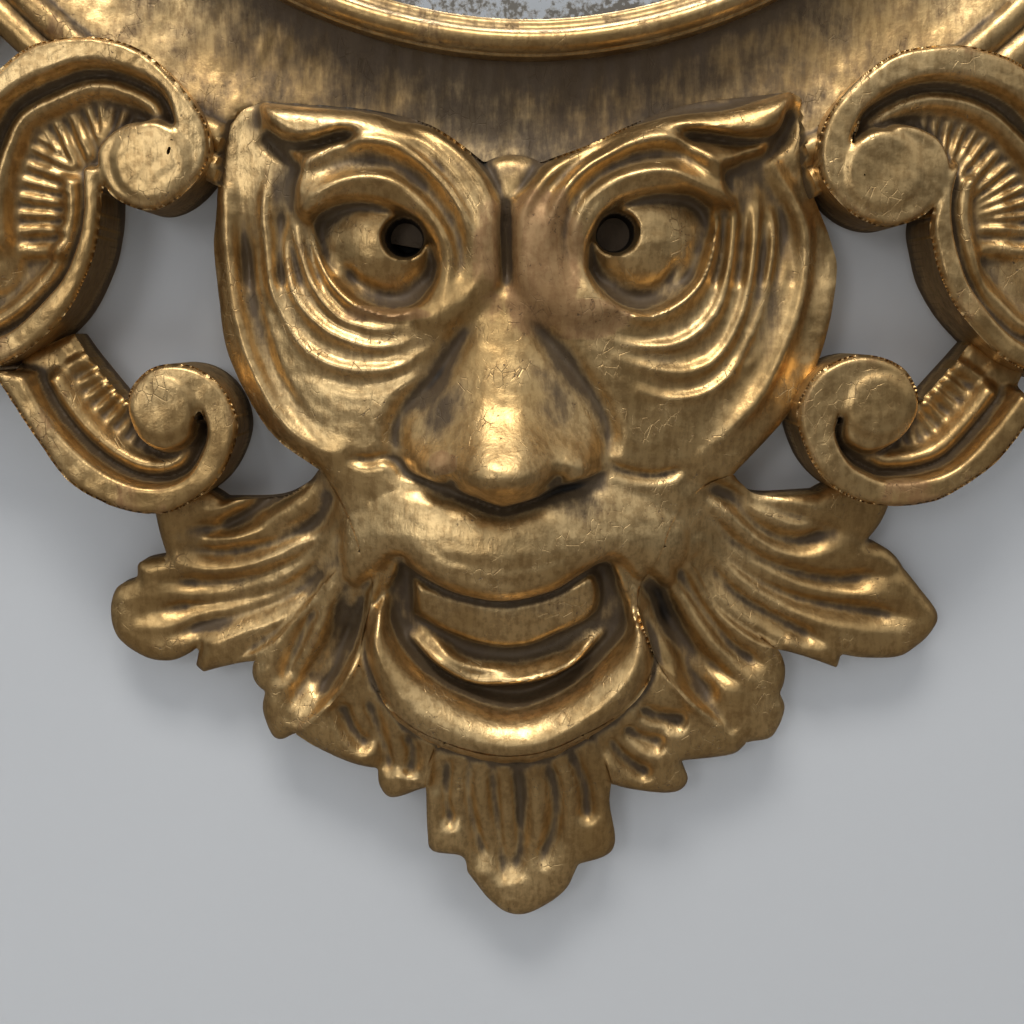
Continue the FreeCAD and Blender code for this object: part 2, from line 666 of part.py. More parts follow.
wrinkle_arcs = [
    [(-75.5, -262), (-66, -294), (-43, -300.5)],
    [(-86, -264), (-73, -302), (-40, -309)],
    [(-98, -236), (-92, -290), (-60, -322)],
]
face_side_profile = [
    # z, height: the side view of the bare face
    (-200.0, 17.0), (-262.0, 33.0), (-320.0, 38.0), (-390.0, 33.0), (-460.0, 16.0),
]
mouth_ridges = [
    [(-47, -401), (-7, -423.5), (32, -401)],
    [(-42, -393), (-7, -412), (27, -393)],
]
lip_arc = [(-53, -408), (-7, -441), (39, -408)]
nose_sections = [
    # z, half width at the cheek, half width and height of the wings, half width and height of the bridge
    (-281.0, 2.5, 2.2, 28.0, 1.5, 34.0),
    (-300.0, 15.0, 11.0, 36.0, 4.0, 46.0),
    (-322.0, 33.0, 28.0, 44.0, 8.0, 59.0),
    (-337.0, 39.0, 37.0, 50.0, 11.0, 69.0),
    (-348.0, 37.0, 34.0, 50.0, 9.0, 66.0),
    (-356.0, 30.0, 24.0, 44.0, 5.0, 54.0),
]
# Where each leaf springs from the cheek, and where its tip ends.
leaf_slopes = {
    "beard_leaf_left": ((-66, -368), (-158, -408)),
    "beard_leaf_right": ((54, -366), (154, -408)),
    "jaw_leaf_left": ((-62, -380), (-98, -450)),
    "jaw_leaf_right": ((48, -378), (94, -450)),
    "chin_side_leaf_left": ((-58, -428), (-55, -475)),
    "chin_side_leaf_right": ((40, -432), (58, -472)),
    "chin_leaf": ((-6, -449), (-6, -524)),
}
# Flutes of each leaf, as arcs from the cheek to near the tip.
beard_left_flutes = [
    [(-70, -365), (-100, -384), (-135, -390)],
    [(-74, -376), (-104, -396), (-147, -404)],
    [(-82, -391), (-106, -407), (-128, -411)],
]
beard_right_flutes = [
    [(62, -362), (85, -379), (121, -378)],
    [(60, -369), (88, -391), (130, -396)],
    [(66, -381), (90, -400), (128, -405)],
]
jaw_left_flutes = [
    [(-66, -386), (-80, -414), (-97, -441)],
]
jaw_right_flutes = [
    [(53, -385), (64, -414), (90, -438)],
    [(62, -388), (75, -408), (93, -424)],
]
chin_side_left_flutes = [
    [(-72, -436), (-60, -450), (-50, -467)],
]
chin_side_right_flutes = [
    [(36, -438), (48, -449), (56, -466)],
    [(42, -431), (56, -444), (70, -455)],
]
chin_leaf_flutes = [
    [(-20, -452), (-22, -475), (-15, -507)],
    [(-7, -455), (-6.5, -480), (-6, -514)],
    [(8, -451), (12, -475), (7, -507)],
]


# ----------------------------------------------------------------- carved scrolls
def rib_fan(centre, first, last):
    """Flutes of a cove, fanned about a centre between two angles in degrees."""
    flutes = []
    for index in range(cove_ribs):
        turn = math.radians(first + (last - first) * index / (cove_ribs - 1))
        start, end = [(centre[0] + reach * math.cos(turn), centre[1] + reach * math.sin(turn))
                      for reach in (cove_flute_inner, cove_flute_outer)]
        flutes.append(gouge(start, scroll_cove_h, end, scroll_cove_h, cove_flute_half_width, cove_flute_depth))
    return flutes


def upper_scroll(band, hook, cove, fan):
    """Band with a volute, a second C below it and a ribbed cove between them."""
    hollow = plate(cove, carving_back_h, scroll_cove_h)
    for flute in rib_fan(*fan):
        hollow = hollow.cut(flute)
    bands = [plate(band, carving_back_h, scroll_face_h), plate(hook, carving_back_h, scroll_face_h)]
    return hooked_on_ring(lowered(joined([biggest(hollow)] + bands)))


def lower_scroll(band, cove, web):
    """C-scroll with a plain worn cove and a low web towards the mask."""
    parts = [
        plate(band, carving_back_h, scroll_face_h),
        plate(cove, carving_back_h, scroll_cove_h),
        plate(web, carving_back_h, scroll_web_h),
    ]
    return lowered(joined(parts))


def seat_swaths(shape):
    """What stands in front of a carving's flat seat, to be cleared from the ring."""
    seats = [face for face in shape.Faces
             if abs(face.BoundBox.YMin + seat_h) < 1e-3 and abs(face.BoundBox.YMax + seat_h) < 1e-3]
    return [face.extrude(FreeCAD.Vector(0, -front_limit, 0)) for face in seats]


def hooked_on_ring(piece):
    """Cut the back of a carving so that it hooks over the ring's front and round edge."""
    return biggest(piece.cut(disc(ring_outer_radius + edge_clearance, -1.0, seat_h)))


# ------------------------------------------------------------------------- leaves
def fluted_leaf(outline, flutes, root, tip):
    """Leaf board: front slopes from the root down to the tip, flutes gouged along it."""
    leaf = plate(outline, carving_back_h, leaf_blank_h)
    length = math.dist(root, tip)
    slope = math.degrees(math.atan2(leaf_root_h - leaf_tip_h, length))
    along = math.degrees(math.atan2(tip[1] - root[1], tip[0] - root[0]))
    waste = Part.makeBox(3 * length, front_limit, 4 * length,
                         FreeCAD.Vector(-length, -front_limit, -2 * length))
    waste.rotate(FreeCAD.Vector(0, 0, 0), FreeCAD.Vector(0, 0, 1), slope)
    waste.translate(FreeCAD.Vector(0, -leaf_root_h, 0))
    waste.rotate(FreeCAD.Vector(0, 0, 0), FreeCAD.Vector(0, -1, 0), along)
    waste.translate(FreeCAD.Vector(root[0], 0, root[1]))
    leaf = leaf.cut(waste)

    def surface(point):
        ahead = ((point[0] - root[0]) * (tip[0] - root[0]) + (point[1] - root[1]) * (tip[1] - root[1])) / length ** 2
        return leaf_root_h - ahead * (leaf_root_h - leaf_tip_h)

    for run in flutes:
        for start, end in zip(run[:-1], run[1:]):
            leaf = leaf.cut(gouge(start, surface(start), end, surface(end), leaf_flute_half_width, leaf_flute_depth))
    return lowered(biggest(leaf))


def lobed_leaf(root, tip, half_width, lobes):
    """Straight acanthus leaf with equal lobes down each side and a vein to each lobe."""
    length = math.dist(root, tip)
    ux, uz = (tip[0] - root[0]) / length, (tip[1] - root[1]) / length

    def place(along, across):
        return (root[0] + ux * along - uz * across, root[1] + uz * along + ux * across)

    def side_width(share):
        return half_width * math.sin(math.pi * (0.12 + 0.80 * share)) ** 0.8

    def notch(share, side):
        """Where two lobes meet on the edge."""
        return place(0.94 * length * share, 0.78 * side * side_width(share))

    def point(share, side):
        """Tip of a lobe."""
        return place(0.97 * length * share, 1.08 * side * side_width(share))

    shares = [lobe / lobes for lobe in range(lobes + 1)]
    sides = []
    for side in (1, -1):
        ends = [notch(share, side) for share in shares[:-1]] + [place(length, 0.0)]
        tips = [point((shares[i] + 3 * shares[i + 1]) / 4, side) for i in range(lobes)]
        corners = [corner for pair in zip(ends, tips) for corner in pair] + [ends[-1]]
        sides.append([list(pair) for pair in zip(corners[:-1], corners[1:])])
    runs = sides[0] + [run[::-1] for run in sides[1][::-1]]
    leaf = plate(runs, carving_back_h, applied_leaf_h)
    veins = [(place(0.06 * length, 0.0), place(0.9 * length, 0.0))]
    for share in shares[1:]:
        for side in (1, -1):
            start = place(length * max(share - 0.35, 0.05), 0.0)
            veins.append((start, point(share - 0.07, 0.8 * side)))
    for start, end in veins:
        leaf = leaf.cut(gouge(start, applied_leaf_h, end, applied_leaf_h, vein_half_width, vein_depth))
    return biggest(leaf)


# --------------------------------------------------------------------------- mask
def mask_pair(left):
    """A feature of the left half of the mask and its mirror image about the mask's line."""
    return [left, left.mirror(FreeCAD.Vector(mask_centre_x, 0, 0), FreeCAD.Vector(1, 0, 0))]


def nose():
    """Wedge lofted down the face to a broad tip with wings, its nostrils drilled from below."""
    rings = []
    for z, cheek, wing, wing_h, bridge, bridge_h in nose_sections:
        rings.append([
            at(mask_centre_x - cheek, nose_root_h, z),
            at(mask_centre_x - wing, wing_h, z),
            at(mask_centre_x - bridge, bridge_h, z),
            at(mask_centre_x + bridge, bridge_h, z),
            at(mask_centre_x + wing, wing_h, z),
            at(mask_centre_x + cheek, nose_root_h, z),
        ])
    whole = flat_sided(rings)
    underside_z = nose_sections[-1][0]
    nostril_h = nose_sections[-1][3]
    for side in (-1, 1):
        x = mask_centre_x + side * nostril_offset
        whole = whole.cut(rod(x, nostril_h - nostril_radius, underside_z - 1, x, nostril_h - nostril_radius,
                              underside_z + nostril_depth, nostril_radius))
    return whole


def mask_face(neighbours):
    """The grotesque mask: domed block, sockets, eyes, lids, wrinkles, nose and mouth."""
    foot_z, head_z = face_side_profile[-1][0], face_side_profile[0][0]
    across = [mask_half_width * (2 * strip / mask_dome_strips - 1) for strip in range(mask_dome_strips + 1)]
    dome_centre_h = mask_dome_h - mask_dome_radius
    front = [at(mask_centre_x + x, dome_centre_h + math.sqrt(mask_dome_radius ** 2 - x ** 2), foot_z) for x in across]
    front += [at(mask_centre_x + x, 0.0, foot_z) for x in (mask_half_width, -mask_half_width)]
    dome = Part.Face(Part.makePolygon(front + front[:1])).extrude(FreeCAD.Vector(0, 0, head_z - foot_z))
    side = [at(-front_limit, h, z) for z, h in face_side_profile]
    side += [at(-front_limit, 0.0, foot_z), at(-front_limit, 0.0, head_z)]
    rounded = Part.Face(Part.makePolygon(side + side[:1])).extrude(FreeCAD.Vector(2 * front_limit, 0, 0))
    face = plate(mask_outline, carving_back_h, front_limit).common(dome).common(rounded)
    wrinkle_h = mask_dome_h - wrinkle_depth
    waste = [(-2 * wrinkle_half_width, wrinkle_h + wrinkle_depth), (0.0, wrinkle_h - wrinkle_depth),
             (2 * wrinkle_half_width, wrinkle_h + wrinkle_depth)]
    for a, b, c in wrinkle_arcs:
        for groove in mask_pair(swept(a, b, c, waste)):
            face = face.cut(groove)
    eye_x = mask_centre_x - eye_offset
    socket = facing(eye_sides, [(eye_socket_radius, eye_socket_h), (eye_socket_radius, front_limit)], eye_x, eye_z)
    for hole in mask_pair(socket):
        face = face.cut(hole)
    eyeball = facing(eye_sides, [(eyeball_radius, eyeball_back_h), (eyeball_radius, eye_socket_h),
                                 (eyeball_flat_radius, eyeball_front_h)], eye_x, eye_z)
    features = mask_pair(eyeball)
    features += mask_pair(plate(lid_outline, eye_socket_h - 4, lid_h))
    features += mask_pair(plate(brow_outline, seat_h, brow_h))
    features.append(plate(muzzle_outline, mouth_floor_h, muzzle_h))
    features.append(nose())
    face = joined([face] + features)
    face = face.cut(plate(mouth_outline, mouth_floor_h, front_limit))
    ridges = [swept(a, b, c, roof(mouth_ridge_half_width, mouth_floor_h - 1, mouth_ridge_h))
              for a, b, c in mouth_ridges]
    ridges.append(swept(*lip_arc, roof(lip_half_width, mouth_floor_h, lip_h)))
    face = joined([face] + ridges)
    for side in (-1, 1):
        x = mask_centre_x + side * pupil_spacing / 2
        face = face.cut(facing(pupil_sides, [(pupil_radius, eyeball_front_h - pupil_depth),
                                             (pupil_radius, front_limit)], x, pupil_z))
    face = lowered(face)
    for neighbour in neighbours:
        face = face.cut(neighbour)
    return hooked_on_ring(face)


def dowel_set(radius, length):
    """Pegs between the ring and the mask, half in each."""
    pegs = []
    for side in (-1, 1):
        pegs.append(facing(dowel_sides, [(radius, seat_h - length / 2), (radius, seat_h + length / 2)],
                           mask_centre_x + side * dowel_spacing / 2, dowel_z - ring_drop))
    return pegs


# -------------------------------------------------------------------------- crest
def crest_shell():
    """Fan of lobes like a scallop shell, seated on the top of the ring."""
    step = crest_shell_spread / crest_shell_lobes
    start = 90.0 - crest_shell_spread / 2

    def on(angle, radius):
        turn = math.radians(angle)
        return (radius * math.cos(turn), crest_shell_z + radius * math.sin(turn))

    runs = []
    for lobe in range(crest_shell_lobes):
        a0, a1 = start + lobe * step, start + (lobe + 1) * step
        runs.append([on(a0, 0.96 * crest_shell_radius), on((a0 + a1) / 2, 1.07 * crest_shell_radius),
                     on(a1, 0.96 * crest_shell_radius)])
    shell = plate(runs, carving_back_h, crest_shell_h)
    for lobe in range(1, crest_shell_lobes):
        angle = start + lobe * step
        shell = shell.cut(gouge(on(angle, 0.7 * crest_boss_radius), crest_shell_h,
                                on(angle, 1.1 * crest_shell_radius), crest_shell_h,
                                crest_shell_groove, crest_shell_groove))
    boss = facing(crest_boss_sides, [(crest_boss_radius, seat_h + 2), (crest_boss_radius, crest_shell_h + 2),
                                     (crest_boss_radius / 2, crest_boss_h)], 0.0, crest_shell_z)
    return hooked_on_ring(joined([shell, boss]))


# ------------------------------------------------------------------- candle arms
def arm_bracket(side):
    """Eight-sided plate with two lugs that hold the hinge pin."""
    x, z = side * arm_mount_x, arm_mount_z
    plate_front = seat_h + bracket_thickness
    hinge_h = plate_front + hinge_reach
    body = facing(bracket_sides, [(bracket_radius, seat_h), (bracket_radius, plate_front)], x, z)
    gap = barrel_height / 2 + barrel_end_clearance
    half = lug_width / 2
    corner = lug_width / 4
    lugs = []
    for lower in (gap, -gap - lug_height):
        outline = [(-half, plate_front - 1), (-half, hinge_h + corner), (-corner, hinge_h + half),
                   (corner, hinge_h + half), (half, hinge_h + corner), (half, plate_front - 1)]
        points = [at(x + across, h, z + lower) for across, h in outline]
        lugs.append(Part.Face(Part.makePolygon(points + points[:1])).extrude(FreeCAD.Vector(0, 0, lug_height)))
    body = joined([body] + lugs)
    reach = gap + lug_height + 1
    body = body.cut(Part.makeCylinder(hinge_pin_radius + hinge_pin_clearance, 2 * reach, at(x, hinge_h, z - reach)))
    for hole in bracket_nail_set(side, 2 * nail_clearance):
        body = body.cut(hole)
    return body


def nail(x, z, head_h, tip_h, clearance):
    """Forged nail: tapered square shank and a low four-sided head on the side away from its tip."""
    outwards = 1 if head_h > tip_h else -1
    shank = frustum(x, z, head_h, nail_width + clearance, tip_h, nail_tip_width + clearance)
    head = frustum(x, z, head_h, nail_head_width, head_h + outwards * nail_head_height, nail_head_width / 3)
    return joined([shank, head])


def bracket_nail_set(side, clearance):
    """Nails through a bracket plate into the ring."""
    front = seat_h + bracket_thickness
    nails = []
    for index in range(nails_per_bracket):
        turn = math.radians(360.0 / nails_per_bracket * index + (0.0 if side > 0 else 180.0))
        nails.append(nail(side * arm_mount_x + nail_circle * math.cos(turn),
                          arm_mount_z + nail_circle * math.sin(turn), front, front - nail_length, clearance))
    return nails


def hinge_pin(side):
    """Pin with a square head on the upper lug."""
    x, z = side * arm_mount_x, arm_mount_z
    hinge_h = seat_h + bracket_thickness + hinge_reach
    reach = barrel_height / 2 + barrel_end_clearance + lug_height
    foot = at(x, hinge_h, z - reach - hinge_pin_tail)
    shank = Part.makeCylinder(hinge_pin_radius, 2 * reach + hinge_pin_tail, foot)
    head = square_peg(hinge_pin_head_width, x, hinge_h, z + reach, z + reach + hinge_pin_head)
    return joined([shank, head])


def arm_geometry():
    """Bend centres of the arm in its own plane: (reach from the hinge, height)."""
    turn = math.radians(180.0 + arm_turn)
    swan_start = math.radians(arm_turn + arm_swan_sweep)
    swan_x = barrel_radius - barrel_bite - arm_swan_radius * math.cos(swan_start)
    swan_z = -arm_swan_radius * math.sin(swan_start)
    bend_x = swan_x - (arm_bend_radius + arm_swan_radius) * math.cos(turn)
    bend_z = swan_z - (arm_bend_radius + arm_swan_radius) * math.sin(turn)
    return swan_x, swan_z, bend_x, bend_z


def candle_reach():
    """Reach and height of the candle seat from the hinge."""
    _, _, bend_x, bend_z = arm_geometry()
    return bend_x + arm_bend_radius, bend_z + arm_upright


def candle_arm():
    """S-shaped bar with its hinge barrel, drawn along +X from the hinge at the origin."""
    swan_x, swan_z, bend_x, bend_z = arm_geometry()
    swan_start = arm_turn + arm_swan_sweep
    half = arm_bar_thickness / 2

    def bent(cx, cz, radius, start, sweep):
        """Square bar bent about a centre in the arm's plane, between two angles in degrees."""
        corners = [(radius - half, -half), (radius + half, -half), (radius + half, half), (radius - half, half)]
        cuts = math.ceil(math.radians(sweep) * radius / cut_length)
        turns = [math.radians(start + sweep * cut / cuts) for cut in range(cuts + 1)]
        return flat_sided([[at(cx + r * math.cos(turn), across, cz + r * math.sin(turn)) for r, across in corners]
                           for turn in turns])

    reach, seat_z = candle_reach()
    swan = bent(swan_x, swan_z, arm_swan_radius, arm_turn, swan_start - arm_turn)
    bend = bent(bend_x, bend_z, arm_bend_radius, 180 + arm_turn, 180 - arm_turn)
    upright = square_peg(arm_bar_thickness, reach, 0, bend_z, seat_z)
    spigot = square_peg(spigot_width, reach, 0, seat_z, seat_z + spigot_length)
    barrel = faceted(barrel_sides, [(barrel_radius, -barrel_height / 2), (barrel_radius, barrel_height / 2)], 0, 0)
    bore = Part.makeCylinder(hinge_pin_radius + hinge_clearance, barrel_height + 2, at(0, 0, -barrel_height / 2 - 1))
    return joined([swan, bend, upright, barrel, spigot]).cut(bore)


def drip_pan():
    """Twelve-sided dished pan with a raised rim, drawn on the arm at the origin's frame."""
    reach, seat_z = candle_reach()
    foot = arm_bar_thickness
    top = seat_z + pan_rim_height
    outside = faceted(pan_sides, [(foot, seat_z), (pan_floor_radius, seat_z + pan_thickness), (pan_radius, top)],
                      reach, 0)
    inside = faceted(pan_sides, [(foot, seat_z + pan_thickness),
                                 (pan_floor_radius, seat_z + 2 * pan_thickness),
                                 (pan_radius + 1.0, top + pan_thickness)], reach, 0)
    hole = square_peg(spigot_width + 2 * spigot_clearance, reach, 0, seat_z - 1, top)
    return outside.cut(inside).cut(hole)


def candle_cup():
    """Vase-shaped twelve-sided nozzle with the candle's round bore."""
    reach, seat_z = candle_reach()
    base = seat_z + pan_thickness
    top = base + cup_height
    body = faceted(cup_sides, [
        (cup_foot_radius, base), (cup_waist_radius, base + cup_lip), (cup_radius, base + spigot_length - 1.0),
        (cup_radius, top - 2 * cup_lip), (cup_radius + cup_lip, top - cup_lip), (cup_radius + cup_lip, top)], reach, 0)
    bore = Part.makeCylinder(candle_bore_radius, candle_bore_depth + 1, at(reach, 0, top - candle_bore_depth))
    hole = square_peg(spigot_width + 2 * spigot_clearance, reach, 0, base - 1, base + spigot_length)
    return body.cut(bore).cut(hole)


def on_arm(shape, side):
    """Turn a piece of the arm to its rest angle and carry it to its bracket."""
    placed = shape.copy()
    ahead = -90.0 + side * arm_splay
    placed.rotate(FreeCAD.Vector(0, 0, 0), FreeCAD.Vector(0, 0, 1), ahead)
    placed.translate(at(side * arm_mount_x, seat_h + bracket_thickness + hinge_reach, arm_mount_z))
    return placed


# ------------------------------------------------------------------------ hanger
def hanger_plate():
    """Iron plate nailed in the pocket, with a lug for the ring."""
    front = hanger_pocket_depth
    back = front - hanger_plate_thickness
    body = block(-hanger_plate_width / 2, hanger_plate_width / 2, back, front,
                 hanger_z - hanger_plate_height / 2, hanger_z + hanger_plate_height / 2)
    half = hanger_lug_height / 2
    lug = block(-hanger_lug_width / 2, hanger_lug_width / 2, hanger_axis_h - half, back + 0.5,
                hanger_z - half, hanger_z + half)
    body = joined([body, lug])
    body = body.cut(rod(-hanger_plate_width, hanger_axis_h, hanger_z, hanger_plate_width, hanger_axis_h, hanger_z,
                        hanger_wire_radius + hanger_clearance))
    for hole in hanger_nail_set(2 * nail_clearance):
        body = body.cut(hole)
    return body


def hanger_nail_set(clearance):
    """Two nails at each end of the hanger plate."""
    back = hanger_pocket_depth - hanger_plate_thickness
    nails = []
    for side in (-1, 1):
        for lift in (-1, 1):
            x = side * (hanger_plate_width / 2 - hanger_nail_inset)
            z = hanger_z + lift * (hanger_plate_height / 2 - hanger_nail_inset + 1.0)
            nails.append(nail(x, z, back, back + hanger_nail_length, clearance))
    return nails


def hanging_ring():
    """D-shaped loop of square bar with a round pin, hanging down from its lug."""
    half = hanger_loop_width / 2
    bar = hanger_bar_thickness / 2
    shoulder = hanger_z - hanger_loop_height + half
    outer, inner = half + bar, half - bar

    def d_outline(reach):
        return [[(-reach, hanger_z), (-reach, shoulder)], [(-reach, shoulder), (0, shoulder - reach), (reach, shoulder)],
                [(reach, shoulder), (reach, hanger_z)]]

    loop = plate(d_outline(outer), hanger_axis_h - bar, hanger_axis_h + bar)
    loop = loop.cut(plate(d_outline(inner), hanger_axis_h - bar - 1, hanger_axis_h + bar + 1))
    eyes = [block(side * half - bar, side * half + bar, hanger_axis_h - bar, hanger_axis_h + bar, hanger_z - 0.1,
                  hanger_z + bar) for side in (-1, 1)]
    pin = rod(-half, hanger_axis_h, hanger_z, half, hanger_axis_h, hanger_z, hanger_wire_radius)
    return joined([loop, pin] + eyes)


def hanger_pocket():
    """Recess in the back of the ring, across its top joint."""
    half = hanger_pocket_width / 2
    return block(-half, half, -1.0, hanger_pocket_depth, hanger_z - hanger_pocket_height / 2,
                 hanger_z + hanger_pocket_height / 2)


# ----------------------------------------------------------------------- assembly
def applied_leaf(line, half_width, lobes, neighbours):
    """Acanthus leaf hooked on the ring and cut back to its neighbours."""
    leaf = lobed_leaf(*round_ring(line), half_width, lobes)
    for neighbour in neighbours:
        leaf = leaf.cut(neighbour)
    return hooked_on_ring(leaf)


def carvings_on_ring():
    """The carved pieces that hook over the ring."""
    upper_left = upper_scroll(upper_band_left, upper_hook_left, upper_cove_left, upper_fan_left)
    upper_right = upper_scroll(upper_band_right, upper_hook_right, upper_cove_right, upper_fan_right)
    reach = bracket_radius + bracket_leaf_clearance
    brackets = {side: facing(bracket_sides, [(reach, -1.0), (reach, front_limit)], side * arm_mount_x, arm_mount_z)
                for side in (-1, 1)}
    shell = crest_shell()
    shoulder_leaf = applied_leaf(crest_leaf_line, crest_leaf_half_width, crest_leaf_lobes, [shell])
    return {
        "mask_face": mask_face([upper_left, upper_right]),
        "upper_scroll_left": upper_left,
        "upper_scroll_right": upper_right,
        "flank_leaf_left": applied_leaf(flank_leaf_left_line, flank_leaf_half_width, flank_leaf_lobes,
                                        [upper_left, brackets[-1]]),
        "flank_leaf_right": applied_leaf(flank_leaf_right_line, flank_leaf_half_width, flank_leaf_lobes,
                                         [upper_right, brackets[1]]),
        "crest_shell": shell,
        "crest_leaf_left": mirrored(shoulder_leaf),
        "crest_leaf_right": shoulder_leaf,
    }


def beard_leaves():
    """The leaves that hang from the mask's cheeks and chin."""
    drawings = {
        "beard_leaf_left": (beard_left_outline, beard_left_flutes),
        "beard_leaf_right": (beard_right_outline, beard_right_flutes),
        "jaw_leaf_left": (jaw_left_outline, jaw_left_flutes),
        "jaw_leaf_right": (jaw_right_outline, jaw_right_flutes),
        "chin_side_leaf_left": (chin_side_left_outline, chin_side_left_flutes),
        "chin_side_leaf_right": (chin_side_right_outline, chin_side_right_flutes),
        "chin_leaf": (chin_leaf_outline, chin_leaf_flutes),
    }
    return {name: fluted_leaf(outline, flutes, *leaf_slopes[name]) for name, (outline, flutes) in drawings.items()}


def ring_boards(carvings, peg_holes):
    """The four boards of the ring, cut for everything that is let into them."""
    cutters = peg_holes + [swath for shape in carvings.values() for swath in seat_swaths(shape)]
    for side in (-1, 1):
        reach = bracket_radius + bracket_seat_clearance
        cutters.append(facing(bracket_sides, [(reach, seat_h), (reach, front_limit)], side * arm_mount_x, arm_mount_z))
        cutters += bracket_nail_set(side, nail_clearance)
    cutters += hanger_nail_set(nail_clearance)
    cutters += sprig_set(sprig_bite + sprig_notch_clearance, 2.0, sprig_thickness + 2 * sprig_clearance)
    cutters += spline_set(spline_clearance)
    cutters.append(hanger_pocket())
    boards = {}
    for index, name in enumerate(("ring_upper_right", "ring_upper_left", "ring_lower_left", "ring_lower_right")):
        board = ring_quarter(90.0 * index)
        for cutter in cutters:
            if board.BoundBox.intersect(cutter.BoundBox):
                board = board.cut(cutter)
        boards[name] = biggest(board)
    return boards


def main():
    carvings = carvings_on_ring()
    leaves = beard_leaves()
    mask = carvings["mask_face"]
    scrolls = {
        "lower_scroll_left": lower_scroll(lower_band_left, lower_cove_left, lower_web_left),
        "lower_scroll_right": lower_scroll(lower_band_right, lower_cove_right, lower_web_right),
    }
    for side in ("left", "right"):
        scroll = scrolls["lower_scroll_" + side]
        for neighbour in (carvings["upper_scroll_" + side], mask, leaves["beard_leaf_" + side]):
            scroll = scroll.cut(neighbour)
        scrolls["lower_scroll_" + side] = biggest(scroll)

    pegs = dowel_set(dowel_radius, dowel_length)
    peg_holes = dowel_set(dowel_radius + dowel_clearance, dowel_length + 2 * dowel_end_clearance)
    for hole in peg_holes:
        mask = mask.cut(hole)
    carvings["mask_face"] = mask

    pieces = ring_boards(carvings, peg_holes)
    pieces["rim_moulding"] = rim_moulding()
    pieces["mirror_glass"] = disc(glass_radius, glass_back_h, glass_front_h)
    pieces.update(zip(("backboard_left", "backboard_middle", "backboard_right"), backboard_planks()))
    pieces["backboard_sprigs"] = Part.makeCompound(
        sprig_set(sprig_bite, sprig_length - sprig_bite, sprig_thickness))
    pieces["joint_splines"] = Part.makeCompound(spline_set(0.0))
    pieces["mask_dowels"] = Part.makeCompound(pegs)
    pieces.update(carvings)
    pieces.update(leaves)
    pieces.update(scrolls)

    for side, name in ((-1, "left"), (1, "right")):
        pieces["arm_bracket_" + name] = arm_bracket(side)
        pieces["candle_arm_" + name] = on_arm(candle_arm(), side)
        pieces["drip_pan_" + name] = on_arm(drip_pan(), side)
        pieces["candle_cup_" + name] = on_arm(candle_cup(), side)
    pieces["bracket_nails"] = Part.makeCompound(bracket_nail_set(-1, 0.0) + bracket_nail_set(1, 0.0))
    pieces["arm_hinge_pins"] = Part.makeCompound([hinge_pin(-1), hinge_pin(1)])
    pieces["hanger_plate"] = hanger_plate()
    pieces["hanging_ring"] = hanging_ring()
    pieces["hanger_nails"] = Part.makeCompound(hanger_nail_set(0.0))
    for name, shape in pieces.items():
        save(name, shape)

    reach, seat_z = candle_reach()
    turn = math.radians(-90.0 + arm_splay)
    print("right candle seat at x %.2f y %.2f z %.2f" % (
        arm_mount_x + reach * math.cos(turn),
        -(seat_h + bracket_thickness + hinge_reach) + reach * math.sin(turn),
        arm_mount_z + seat_z + pan_thickness + cup_height))


main()
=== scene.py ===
# %% [markdown]
# # A carved and gilded mirror, from the frame out
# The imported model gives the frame: every new piece is made in the same metres and the same
# axes, +X to the right, +Z up, the front facing -Y. Carving is thought of in millimetres, so
# lengths below are in millimetres until MM turns them into metres.

# %% Load the frame
import math

import bmesh
import bpy
import numpy as np
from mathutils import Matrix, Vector


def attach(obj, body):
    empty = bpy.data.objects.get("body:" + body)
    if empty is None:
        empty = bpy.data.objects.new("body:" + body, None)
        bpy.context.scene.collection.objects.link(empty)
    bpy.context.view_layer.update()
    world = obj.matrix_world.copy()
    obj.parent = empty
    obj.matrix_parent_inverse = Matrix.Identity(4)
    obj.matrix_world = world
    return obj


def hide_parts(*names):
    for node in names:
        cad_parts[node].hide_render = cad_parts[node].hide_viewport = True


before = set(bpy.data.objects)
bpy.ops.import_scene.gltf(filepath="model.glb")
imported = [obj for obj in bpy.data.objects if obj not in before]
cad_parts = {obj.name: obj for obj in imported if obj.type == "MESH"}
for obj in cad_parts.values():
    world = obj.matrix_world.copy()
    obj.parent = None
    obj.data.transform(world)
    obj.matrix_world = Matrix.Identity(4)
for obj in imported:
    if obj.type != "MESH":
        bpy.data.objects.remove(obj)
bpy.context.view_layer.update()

MM = 0.001

# %% [markdown]
# ## The camera
# The camera fits the photograph if it stood half a metre from the wall, tipped a little down. The
# same camera also turns a pixel of the photograph into a place on the carving: a ray goes
# through the pixel and stops at the height above the wall that the carving has there.

# %% Camera
camera_at = (-6.0, -497.0, -295.2)
camera_dip = math.radians(8.05)
focal_pixels = 1280.0
picture_middle = 512.0
camera_data = bpy.data.cameras.new("camera")
camera_data.lens, camera_data.sensor_width = 45.0, 36.0
camera = bpy.data.objects.new("camera", camera_data)
camera.location = [v * MM for v in camera_at]
camera.rotation_euler = (math.radians(90.0) - camera_dip, 0.0, 0.0)
bpy.context.scene.collection.objects.link(camera)
bpy.context.scene.camera = camera


def traced(pixels, height):
    """Places (x, z) of photograph pixels: camera + t * ray, with t so that -y = height."""
    u, v = np.array(pixels, float).T
    across = (u - picture_middle) / focal_pixels
    down = (v - picture_middle) / focal_pixels
    ahead = math.cos(camera_dip) - down * math.sin(camera_dip)
    fall = math.sin(camera_dip) + down * math.cos(camera_dip)
    t = (-camera_at[1] - height) / ahead
    return np.stack([camera_at[0] + across * t, camera_at[2] - fall * t], axis=1)


